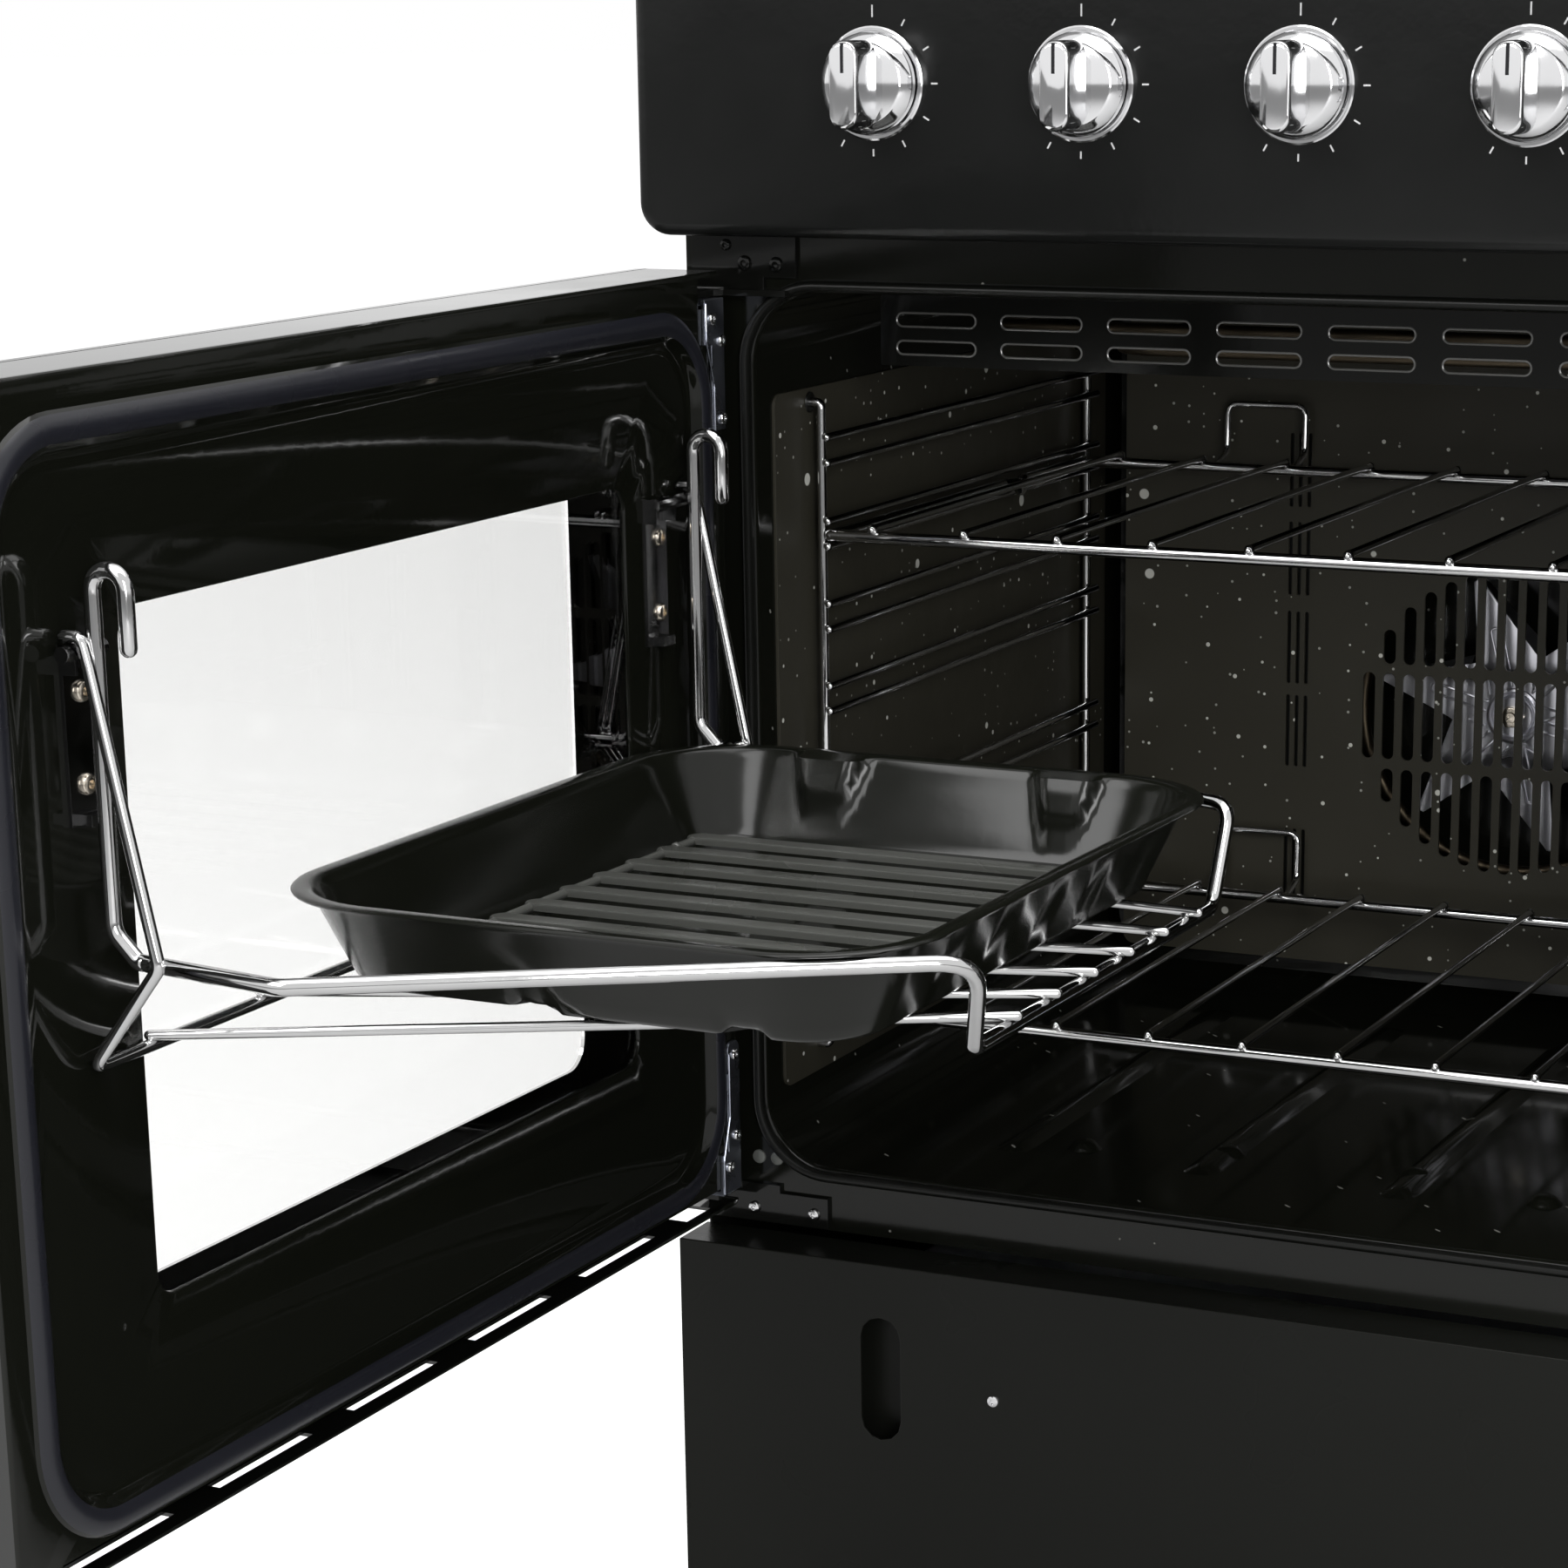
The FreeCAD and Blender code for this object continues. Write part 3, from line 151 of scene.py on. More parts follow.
class Piece:
    """Collects faces in millimetres, then becomes one object that rides on a body."""

    def __init__(self):
        self.points, self.faces, self.slots = [], [], []

    def add(self, points, faces, material=0):
        k = len(self.points)
        self.points += [Vector(p) for p in points]
        self.faces += [tuple(i + k for i in f) for f in faces]
        self.slots += [material] * len(faces)

    def loft(self, rings, ends=(True, True), closed=False, material=0):
        n = len(rings[0])
        points = [p for ring in rings for p in ring]
        faces = []
        pairs = list(range(len(rings) - 1)) + ([len(rings) - 1] if closed else [])
        for r in pairs:
            s = (r + 1) % len(rings)
            for i in range(n):
                j = (i + 1) % n
                faces.append((r * n + i, r * n + j, s * n + j, s * n + i))
        if ends[0] and not closed:
            faces.append(tuple(reversed(range(n))))
        if ends[1] and not closed:
            faces.append(tuple((len(rings) - 1) * n + i for i in range(n)))
        self.add(points, faces, material)

    def tube(self, points, radius, sides=12, closed=False, domed=True, material=0):
        points = [Vector(p) for p in points]
        clean = [points[0]]
        for p in points[1:]:
            if (p - clean[-1]).length > 1e-4:
                clean.append(p)
        if closed and (clean[0] - clean[-1]).length < 1e-4:
            clean.pop()
        points = clean
        n = len(points)
        tangents = []
        for i in range(n):
            a = points[i] - points[i - 1] if closed or i else points[1] - points[0]
            b = points[(i + 1) % n] - points[i] if closed or i < n - 1 else points[-1] - points[-2]
            tangents.append((a.normalized() + b.normalized()).normalized())
        side = tangents[0].cross(Vector((0.13, 0.21, 0.97))).normalized()
        rings = []
        for i, (p, t) in enumerate(zip(points, tangents)):
            side = (side - t * side.dot(t)).normalized()
            up = t.cross(side)
            turns = [2 * math.pi * k / sides for k in range(sides)]
            ring = [(side * math.cos(a) + up * math.sin(a)) * radius for a in turns]
            rings.append((p, t, ring))

        def dome(end, sign, angle):
            p, t, ring = end
            reach, shrink = sign * radius * math.sin(math.radians(angle)), math.cos(math.radians(angle))
            return [p + t * reach + r * shrink for r in ring]
        made = [[p + r for r in ring] for p, t, ring in rings]
        if domed and not closed:
            made = ([dome(rings[0], -1, a) for a in (80, 55, 28)] + made
                    + [dome(rings[-1], 1, a) for a in (28, 55, 80)])
        self.loft(made, closed=closed, material=material)

    def lathe(self, profile, place, sides=40, material=0, ends=(True, True)):
        """profile is (radius, height); place turns (x, y, height) into a point."""
        turns = [2 * math.pi * i / sides for i in range(sides)]
        rings = [[place(max(r, 0.02) * math.cos(a), max(r, 0.02) * math.sin(a), h) for a in turns]
                 for r, h in profile]
        self.loft(rings, ends, material=material)

    def pierced(self, outer, holes, place, thickness, material=0):
        """Flat sheet with holes; place turns (u, v, h) into a point."""
        flat, tops, loops = filled(outer, holes)
        n = len(flat)
        points = [place(u, v, 0) for u, v in flat] + [place(u, v, thickness) for u, v in flat]
        faces = tops + [[i + n for i in reversed(f)] for f in tops]
        for loop in loops:
            for a, b in zip(loop, loop[1:] + loop[:1]):
                faces.append((a, b, b + n, a + n))
        self.add(points, faces, material)

    def prism(self, shape, place, h0, h1, edge=0.0, material=0):
        """Solid with that outline between two heights; edge rounds the far rim."""
        cu = sum(p[0] for p in shape) / len(shape)
        cv = sum(p[1] for p in shape) / len(shape)
        rings = [[place(u, v, h0) for u, v in shape]]
        if edge:
            step = edge if h1 > h0 else -edge
            size = max(max(abs(u - cu), abs(v - cv)) for u, v in shape)
            for a in (0, 30, 60, 90):
                c = 1 - (edge / size) * (1 - math.cos(math.radians(a)))
                rings.append([place(cu + (u - cu) * c, cv + (v - cv) * c,
                                    h1 - step + step * math.sin(math.radians(a))) for u, v in shape])
        else:
            rings.append([place(u, v, h1) for u, v in shape])
        self.loft(rings, material=material)

    def block(self, x0, x1, y0, y1, z0, z1, material=0, place=None):
        place = place or (lambda x, y, z: Vector((x, y, z)))
        points = [place(x, y, z) for x in (x0, x1) for y in (y0, y1) for z in (z0, z1)]
        sides = [(0, 1, 3, 2), (4, 6, 7, 5), (0, 4, 5, 1), (2, 3, 7, 6), (0, 2, 6, 4), (1, 5, 7, 3)]
        self.add(points, sides, material)

    def ball(self, centre, radius, material=0, rings=6, sides=12):
        centre = Vector(centre)
        profile = [(radius * math.sin(math.pi * i / rings), -radius * math.cos(math.pi * i / rings))
                   for i in range(rings + 1)]
        self.lathe(profile, lambda x, y, h: centre + Vector((x, y, h)), sides, material)

    def make(self, name, body, finishes, slot_name, replaces=(), bevel=0.0, angle=35, open_facing=None,
             solid=0.0):
        """Makes the object, which rides on the body and shows instead of the replaced nodes."""
        mesh = bpy.data.meshes.new(name)
        mesh.from_pydata([p * MM for p in self.points], [], self.faces)
        for finish in finishes:
            mesh.materials.append(finish.material)
        mesh.polygons.foreach_set("material_index", self.slots)
        bm = bmesh.new()
        bm.from_mesh(mesh)
        bmesh.ops.remove_doubles(bm, verts=bm.verts, dist=1e-6)
        bmesh.ops.recalc_face_normals(bm, faces=bm.faces)
        if open_facing is not None:
            facing = sum(f.normal.dot(Vector(open_facing)) * f.calc_area() for f in bm.faces)
            if facing < 0:
                bmesh.ops.reverse_faces(bm, faces=bm.faces)
        bm.to_mesh(mesh)
        bm.free()
        mesh.shade_smooth()
        mesh.set_sharp_from_angle(angle=math.radians(angle))
        made = bpy.data.objects.new(name, mesh)
        bpy.context.scene.collection.objects.link(made)
        if solid:
            thick = made.modifiers.new("thickness", "SOLIDIFY")
            thick.thickness = solid * MM
            thick.offset = -1
        if bevel:
            round_edges(made, bevel, 40)
        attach(made, body)
        if replaces:
            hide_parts(*replaces)
        return made


def round_edges(o, width, sharper_than):
    rounding = o.modifiers.new("edges", "BEVEL")
    rounding.width = width * MM
    rounding.segments = 2
    rounding.limit_method = "ANGLE"
    rounding.angle_limit = math.radians(sharper_than)


def surface(piece, outer, holes, place, material=0):
    """One flat face with holes."""
    flat, triangles, _ = filled(outer, holes)
    piece.add([place(u, v) for u, v in flat], triangles, material)


def soften(node, finish, width):
    """A CAD node keeps its mesh, and gets its material and rounded edges."""
    o = NODES[node]
    o.data.materials.clear()
    o.data.materials.append(finish.material)
    for p in o.data.polygons:
        p.material_index = 0
    weld = o.modifiers.new("weld", "WELD")
    weld.merge_threshold = 0.02 * MM
    round_edges(o, width, 32)
    normals = o.modifiers.new("normals", "WEIGHTED_NORMAL")
    normals.keep_sharp = True


def cut_away(target, boxes, place):
    """Cuts boxes out of a finished piece, one after another, in the place's own coordinates."""
    for box in boxes:
        cutter = Piece()
        cutter.block(*box, place=place)
        mesh = bpy.data.meshes.new("cutter")
        mesh.from_pydata([p * MM for p in cutter.points], [], cutter.faces)
        bm = bmesh.new()
        bm.from_mesh(mesh)
        bmesh.ops.recalc_face_normals(bm, faces=bm.faces)
        bm.to_mesh(mesh)
        bm.free()
        tool = bpy.data.objects.new("cutter", mesh)
        bpy.context.scene.collection.objects.link(tool)
        trim = target.modifiers.new("trim", "BOOLEAN")
        trim.object = tool
        trim.operation = "DIFFERENCE"
        trim.solver = "EXACT"
        with bpy.context.temp_override(object=target, active_object=target, selected_objects=[target]):
            for m in list(target.modifiers):
                bpy.ops.object.modifier_apply(modifier=m.name)
        bpy.data.objects.remove(tool)
    target.data.set_sharp_from_angle(angle=math.radians(35))


# -------- materials
def math_node(tree, operation, a, b):
    """Math node of two sockets or numbers; gives its result's socket."""
    made = tree.nodes.new("ShaderNodeMath")
    made.operation = operation
    for socket, value in zip(made.inputs, (a, b)):
        if isinstance(value, (int, float)):
            socket.default_value = value
        else:
            tree.links.new(value, socket)
    return made.outputs[0]


class Surface:
    """Node material with the parts that all finishes here share."""

    def __init__(self, name, color, roughness, metallic=0.0, **settings):
        self.material = bpy.data.materials.new(name)
        self.material.use_nodes = True
        self.tree = self.material.node_tree
        self.shader = self.tree.nodes["Principled BSDF"]
        self.set("Base Color", (*color, 1))
        self.set("Roughness", roughness)
        self.set("Metallic", metallic)
        for key, value in settings.items():
            self.set(key.replace("_", " "), value)
        self.color, self.roughness = color, roughness
        self.height = None

    def set(self, socket, value):
        self.shader.inputs[socket].default_value = value

    def node(self, kind, **inputs):
        made = self.tree.nodes.new(kind)
        for key, value in inputs.items():
            made.inputs[key.replace("_", " ")].default_value = value
        return made

    def link(self, a, b):
        self.tree.links.new(a, b)

    def place(self, stretch=(1, 1, 1)):
        coordinate = self.tree.nodes.new("ShaderNodeTexCoord")
        mapping = self.tree.nodes.new("ShaderNodeMapping")
        mapping.inputs["Scale"].default_value = stretch
        self.link(coordinate.outputs["Object"], mapping.inputs["Vector"])
        return mapping.outputs["Vector"]

    def noise(self, scale, detail=3.0, stretch=(1, 1, 1), roughness=0.55):
        made = self.node("ShaderNodeTexNoise", Scale=scale, Detail=detail, Roughness=roughness)
        self.link(self.place(stretch), made.inputs["Vector"])
        return made.outputs["Fac"]

    def range(self, value, a, b, low, high):
        made = self.node("ShaderNodeMapRange")
        for key, number in (("From Min", a), ("From Max", b), ("To Min", low), ("To Max", high)):
            made.inputs[key].default_value = number
        self.link(value, made.inputs["Value"])
        return made.outputs["Result"]

    def math(self, operation, a, b):
        return math_node(self.tree, operation, a, b)

    def tint(self, mask, color):
        """Lays another colour over the base where the mask is 1."""
        mix = self.tree.nodes.new("ShaderNodeMix")
        mix.data_type = "RGBA"
        base = self.shader.inputs["Base Color"]
        if base.is_linked:
            self.link(base.links[0].from_socket, mix.inputs["A"])
        else:
            mix.inputs["A"].default_value = base.default_value
        mix.inputs["B"].default_value = (*color, 1)
        self.link(mask, mix.inputs["Factor"])
        self.link(mix.outputs["Result"], base)

    def vary_roughness(self, scale, spread, stretch=(1, 1, 1)):
        low, high = self.roughness - spread, self.roughness + spread
        value = self.range(self.noise(scale, 3, stretch), 0.3, 0.7, low, high)
        self.link(value, self.shader.inputs["Roughness"])

    def bump(self, value, distance, strength=1.0):
        made = self.tree.nodes.new("ShaderNodeBump")
        made.inputs["Distance"].default_value = distance
        made.inputs["Strength"].default_value = strength
        self.link(value, made.inputs["Height"])
        if self.height is not None:
            self.link(self.height, made.inputs["Normal"])
        self.height = made.outputs["Normal"]
        self.link(self.height, self.shader.inputs["Normal"])

    def specks(self, scale, share, low, high, color, lean=0.0):
        """Scattered round dots of mixed size on upright walls; share is the part of cells that hold one."""
        cells = self.node("ShaderNodeTexVoronoi", Scale=scale, Randomness=1.0)
        cells.voronoi_dimensions = "2D"
        split = self.tree.nodes.new("ShaderNodeSeparateXYZ")
        join = self.tree.nodes.new("ShaderNodeCombineXYZ")
        self.link(self.place(), split.inputs["Vector"])
        self.link(self.math("ADD", split.outputs["X"], split.outputs["Y"]), join.inputs["X"])
        leaning = self.math("MULTIPLY", split.outputs["Y"], lean)
        self.link(self.math("ADD", split.outputs["Z"], leaning), join.inputs["Y"])
        self.link(join.outputs["Vector"], cells.inputs["Vector"])
        split = self.tree.nodes.new("ShaderNodeSeparateColor")
        self.link(cells.outputs["Color"], split.inputs["Color"])
        chosen = self.math("LESS_THAN", split.outputs["Red"], share)
        size = self.range(split.outputs["Green"], 0, 1, low, high)
        inside = self.math("SUBTRACT", size, cells.outputs["Distance"])
        dot = self.range(inside, 0.0, low * 0.35, 0, 1)
        self.tint(self.math("MULTIPLY", chosen, dot), color)


def enamel(name, color, roughness=0.08, level=0.3, orange=0.00004, **more):
    s = Surface(name, color, roughness, Specular_IOR_Level=level, **more)
    s.vary_roughness(14, roughness * 0.25)
    s.bump(s.noise(150, 2), orange, 0.5)
    cloud = s.range(s.noise(6, 4), 0.35, 0.7, 0, 0.25)
    s.tint(cloud, tuple(c * 1.3 + 0.001 for c in color))
    return s


def metal(name, color, roughness, grain=(1, 1, 1), scale=60, spread=0.05, bump=0.00001):
    s = Surface(name, color, roughness, 1.0)
    s.vary_roughness(scale, spread, grain)
    s.bump(s.noise(scale * 4, 2, grain), bump, 0.4)
    shade = s.range(s.noise(scale / 3, 3, grain), 0.3, 0.7, 0, 0.35)
    s.tint(shade, tuple(c * 0.82 for c in color))
    return s


SPECK = (0.62, 0.62, 0.57)
cavity = enamel("cavity_enamel", (0.0048, 0.0052, 0.0036), 0.12, 0.3)
cavity.specks(60, 0.10, 0.03, 0.06, (0.2, 0.2, 0.18), 0.5)
coating = enamel("liner_coating", (0.032, 0.030, 0.022), 0.42, 0.22, 0.00012)
coating.specks(24, 0.20, 0.032, 0.078, SPECK)
coating.specks(62, 0.22, 0.036, 0.085, SPECK)
coating.specks(120, 0.16, 0.05, 0.10, (0.38, 0.38, 0.35))
door_gloss = enamel("door_enamel", (0.0055, 0.006, 0.0042), 0.06, 0.3)
door_bead = enamel("door_bead", (0.012, 0.0125, 0.017), 0.28, 0.4, 0.00003)
satin = enamel("body_enamel", (0.0062, 0.0066, 0.0052), 0.32, 0.16, 0.00010)
skin = enamel("door_skin_enamel", (0.0062, 0.0066, 0.0055), 0.1, 0.9, 0.00003)
panel = enamel("panel_enamel", (0.0062, 0.0065, 0.0062), 0.22, 0.25, 0.00016)
hob = enamel("hob_enamel", (0.005, 0.0052, 0.0045), 0.1, 0.3)
tin = enamel("tin_enamel", (0.0055, 0.006, 0.0042), 0.17, 0.32, 0.00004)
slat = enamel("slat_enamel", (0.075, 0.077, 0.070), 0.3, 0.7, 0.00006)
plug = enamel("plug_enamel", (0.11, 0.115, 0.105), 0.3, 0.5, 0.00003)
# light grey glossy enamel on the slot rims: a painted highlight on the pressed slot edges
slot_rim_painted_highlight = enamel("slot_rim_painted_highlight", (0.10, 0.10, 0.095), 0.15, 0.8, 0.00002)
# dark rubber for the seals, also used for dark sheets that are painted shade in the flue slots and behind the
# back panel's slits
rubber_and_shade = enamel("seal_rubber", (0.0045, 0.0048, 0.004), 0.3, 0.28, 0.00003)
chrome = metal("wire_chrome", (0.62, 0.62, 0.62), 0.08, spread=0.02, scale=90)
bright = metal("knob_chrome", (0.80, 0.80, 0.81), 0.09, spread=0.03)
zinc = metal("zinc_plate", (0.34, 0.36, 0.42), 0.28, scale=40, spread=0.08, bump=0.00003)
brassy = metal("screw_brass", (0.72, 0.65, 0.55), 0.2)
dark_metal = metal("bracket_chrome", (0.20, 0.20, 0.20), 0.14)
alloy = Surface("fan_metal", (0.72, 0.72, 0.77), 0.3, 1.0)
alloy.vary_roughness(10, 0.04)
alloy.tint(alloy.range(alloy.noise(14, 2), 0.35, 0.7, 0, 0.3), (0.56, 0.56, 0.60))
element = metal("element_metal", (0.10, 0.08, 0.055), 0.45, scale=120, spread=0.08, bump=0.00004)
galvanised = metal("galvanised", (0.60, 0.61, 0.62), 0.42, scale=25, spread=0.12, bump=0.00002)
foot_steel = metal("foot_steel", (0.5, 0.5, 0.5), 0.35)
burner_alloy = metal("burner_alloy", (0.62, 0.62, 0.62), 0.4, scale=200, bump=0.00004)
gas_brass = metal("gas_brass", (0.70, 0.55, 0.28), 0.3)
iron = Surface("cast_iron", (0.014, 0.014, 0.014), 0.62, Specular_IOR_Level=0.35)
iron.bump(iron.noise(700, 4), 0.00025, 0.7)
iron.vary_roughness(60, 0.1)
cap = Surface("cap_enamel", (0.010, 0.010, 0.010), 0.45, Specular_IOR_Level=0.35)
cap.bump(cap.noise(500, 3), 0.00006, 0.6)
plastic = Surface("clock_plastic", (0.010, 0.010, 0.012), 0.18, Specular_IOR_Level=0.4)
plastic.bump(plastic.noise(900, 2), 0.00002, 0.4)
button = Surface("button_plastic", (0.30, 0.30, 0.31), 0.42)
button.bump(button.noise(900, 2), 0.00003, 0.5)
ceramic = Surface("ceramic", (0.75, 0.74, 0.70), 0.35)
ceramic.bump(ceramic.noise(300, 2), 0.00003, 0.4)
mark = Surface("dial_marks", (0.62, 0.62, 0.62), 0.4)
mark.bump(mark.noise(800, 2), 0.00001, 0.4)
display = Surface("clock_digits", (0.9, 0.55, 0.2), 0.4)
display.bump(display.noise(800, 2), 0.00001, 0.3)
printed = enamel("glass_print", (0.004, 0.004, 0.004), 0.04, 0.4, 0.00001)
glass = Surface("door_glass", (0.955, 0.955, 0.95), 0.0, Transmission_Weight=1.0, IOR=1.45)
smear = glass.range(glass.noise(9, 4, (1, 1, 0.3)), 0.4, 0.75, 0.0, 0.02)
glass.link(smear, glass.shader.inputs["Roughness"])


# -------- places on the doors
def on_left(s, off, z):
    """Point of the left door, which stands open; z is above the top of the mouth."""
    return Vector((HINGE_X + s * math.cos(OPEN) + off * math.sin(OPEN),
                   HINGE_Y - s * math.sin(OPEN) + off * math.cos(OPEN), MOUTH_TOP + z))


def on_right(s, off, z):
    return Vector((-(HINGE_X + s), HINGE_Y + off, MOUTH_TOP + z))


LEFT_FACING = on_left(0, 1, 0) - on_left(0, 0, 0)
RIGHT_FACING = Vector((0, 1, 0))


def screw(piece, place, radius=3.4, height=1.7, material=0):
    """Pan head with a socket; place turns (x, y, height) into a point."""
    profile = [(radius, 0), (radius, height * 0.35), (radius * 0.86, height * 0.8), (radius * 0.6, height),
               (radius * 0.42, height), (radius * 0.36, height * 0.35), (0.05, height * 0.3)]
    piece.lathe(profile, place, 20, material)


# -------- carcass
for node, finish, width in (("side_panels", satin, 0.5), ("back_panel", galvanised, 0.3),
                            ("base_tray", galvanised, 0.6), ("plinth", satin, 0.5),
                            ("drawer_runners", galvanised, 0.3), ("drawer_box", galvanised, 0.5),
                            ("control_gear", gas_brass, 0.4), ("fan_motor", galvanised, 0.6),
                            ("drawer_front", satin, 0.5)):
    soften(node, finish, width)

feet = Piece()
for x in (LEFT + 70, RIGHT - 70):
    for y in (FRONT + 80, BACK - 80):
        feet.lathe([(21.4, 0), (22, 0.6), (22, 4), (20.5, 5.6), (12, 9), (8, 11.5), (8, 80)],
                   standing(x, y, 0))
feet.make("levelling_feet_turned", "cooker", [foot_steel], "foot_steel", ["levelling_feet"])


# -------- hob
BURNERS = [(-365, -160, 38.0), (-365, 84, 30.0), (0, -38, 62.0), (365, -160, 48.0), (365, 84, 38.0)]
HOB_FLOOR = 897.0
HOB_PLAN = (LEFT, RIGHT, PANEL_FRONT, BACK)
WELL_PLAN = (LEFT + 11, RIGHT - 11, PANEL_FRONT + 24, BACK - 50)


def make_hob():
    top = Piece()
    flat = lambda by, z, r: lying(inset(HOB_PLAN, by, r), z)
    well = lambda grow, z, r: lying(inset(WELL_PLAN, -grow, r), z)
    top.loft([well(-2.5, HOB_FLOOR, 23), well(-1.2, HOB_FLOOR + 0.5, 24.5), well(-0.3, HOB_FLOOR + 2, 26),
              well(0.2, HOB_TOP - 2, 26), well(1, HOB_TOP - 0.6, 27), well(2.2, HOB_TOP, 28)],
             ends=(False, False))
    rim = [flat(4, HOB_TOP, 5), flat(1.6, HOB_TOP - 0.6, 7), flat(0.4, HOB_TOP - 2, 8),
           flat(0, HOB_TOP - 4, 8), flat(0, PANEL_TOP, 8), flat(1.5, PANEL_TOP, 7),
           flat(1.5, HOB_TOP - 12, 7)]
    top.loft(rim, ends=(False, True))
    surface(top, inset(HOB_PLAN, 4, 5), [inset(WELL_PLAN, -2.2, 28)], lambda u, v: Vector((u, v, HOB_TOP)))
    floor = inset(WELL_PLAN, 2.5, 23)
    dishes = [circle(x, y, 1.5 * r, 48) for x, y, r in BURNERS]
    surface(top, floor, dishes, lambda u, v: Vector((u, v, HOB_FLOOR)))
    for x, y, r in BURNERS:
        top.lathe([(1.5 * r, 0), (1.5 * r - 3, -0.5), (1.5 * r - 8, -2.8), (1.1 * r, -3.3), (0.7 * r, -3.3)],
                  standing(x, y, HOB_FLOOR), 48, ends=(False, True))
    top.block(LEFT + 60, RIGHT - 60, BACK - 36, BACK - 4, HOB_TOP - 0.5, HOB_TOP + 24)
    top.make("hob_tray_pressed", "cooker", [hob], "hob_enamel", ["hob_tray"])
    vents = Piece()
    for i in range(8):
        x = LEFT + 130 + i * 840 / 7
        ring = slot(x - 42, x + 42, HOB_TOP + 8, HOB_TOP + 16)
        border = [(u + (1.5 if u > x else -1.5), v + (1.5 if v > HOB_TOP + 12 else -1.5)) for u, v in ring]
        vents.pierced(border, [ring], lambda u, v, h: Vector((u, BACK - 36.4 + h, v)), 0.4)
        # dark sheet inside each slot: painted shade in the flue opening
        vents.prism(ring, lambda u, v, h: Vector((u, BACK - 36.1 + h, v)), 0, 0.09, material=1)
    vents.make("flue_slots", "cooker", [hob, rubber_and_shade], "hob_enamel")


make_hob()

cups, crowns, caps, pins = Piece(), Piece(), Piece(), Piece()
for x, y, r in BURNERS:
    at = standing(x, y, HOB_FLOOR)
    cups.lathe([(0.58 * r, -20), (0.6 * r, -3), (1.06 * r, -3), (1.09 * r, 1), (1.06 * r, 4), (0.98 * r, 6),
                (0.9 * r, 9)], at, 48)
    ports = int(r * 0.9)
    rings = []
    for height, inner, outer in ((8.5, 0.86, 0.86), (10, 0.86, 0.9), (18, 0.86, 0.97), (18.2, 0.97, 0.97),
                                 (20, 0.98, 0.98)):
        ring = []
        for i in range(ports * 4):
            radius = (inner if i % 4 < 2 else outer) * r
            a = 2 * math.pi * i / (ports * 4)
            ring.append(at(radius * math.cos(a), radius * math.sin(a), height))
        rings.append(ring)
    crowns.loft(rings)
    caps.lathe([(0.86 * r, 20), (0.92 * r, 20.4), (0.93 * r, 21.5), (0.92 * r, 23.4), (0.88 * r, 24.8),
                (0.8 * r, 25.6), (0.5 * r, 26), (0.05, 26)], at, 56)
    pins.lathe([(3.2, 0), (3.2, 10), (2.6, 11), (1.0, 11.4), (1.0, 14), (0.4, 14.6)],
               standing(x + 1.22 * r, y, HOB_FLOOR - 2.6), 16)
cups.make("burner_cups_turned", "cooker", [burner_alloy], "burner_alloy", ["burner_cups"])
crowns.make("burner_crowns_ported", "cooker", [burner_alloy], "burner_alloy", ["burner_crowns"])
caps.make("burner_caps_turned", "cooker", [cap], "cap_enamel", ["burner_caps"])
pins.make("spark_pins", "cooker", [ceramic], "burner_alloy")
for name in ("left", "centre", "right"):
    soften("pan_support_" + name, iron, 1.3)


# -------- controls
def make_controls():
    shell = Piece()

    def ring(by, y, r):
        high = PANEL_TOP - by
        points = inset((LEFT, RIGHT, PANEL_LOW, PANEL_TOP), by, r)
        half = len(points) // 4
        squared = []
        for i, (u, v) in enumerate(points):
            if half <= i < 3 * half:
                v = high
                u = RIGHT - by if i < 2 * half else LEFT + by
                u += (-0.02 if u > 0 else 0.02) * (i % half)
            squared.append(Vector((u, y, v)))
        return squared
    rings = [ring(1.5, FRONT - 0.1, 12.5), ring(1.5, PANEL_FRONT + 6, 12.5), ring(3, PANEL_FRONT + 1.6, 11)]
    outer = [ring(5.5, PANEL_FRONT, 9), ring(3.0, PANEL_FRONT + 0.5, 11), ring(1.1, PANEL_FRONT + 2, 13),
             ring(0.2, PANEL_FRONT + 4.2, 14), ring(0, PANEL_FRONT + 6.5, 14), ring(0, FRONT - 0.1, 14)]
    shell.loft([*reversed(outer)], ends=(False, True))
    shell.loft(rings, ends=(False, True))
    shell.loft([outer[-1], rings[0]], ends=(False, False))
    shell.make("control_panel_folded", "cooker", [panel], "body_enamel", ["control_panel"], angle=30)


make_controls()

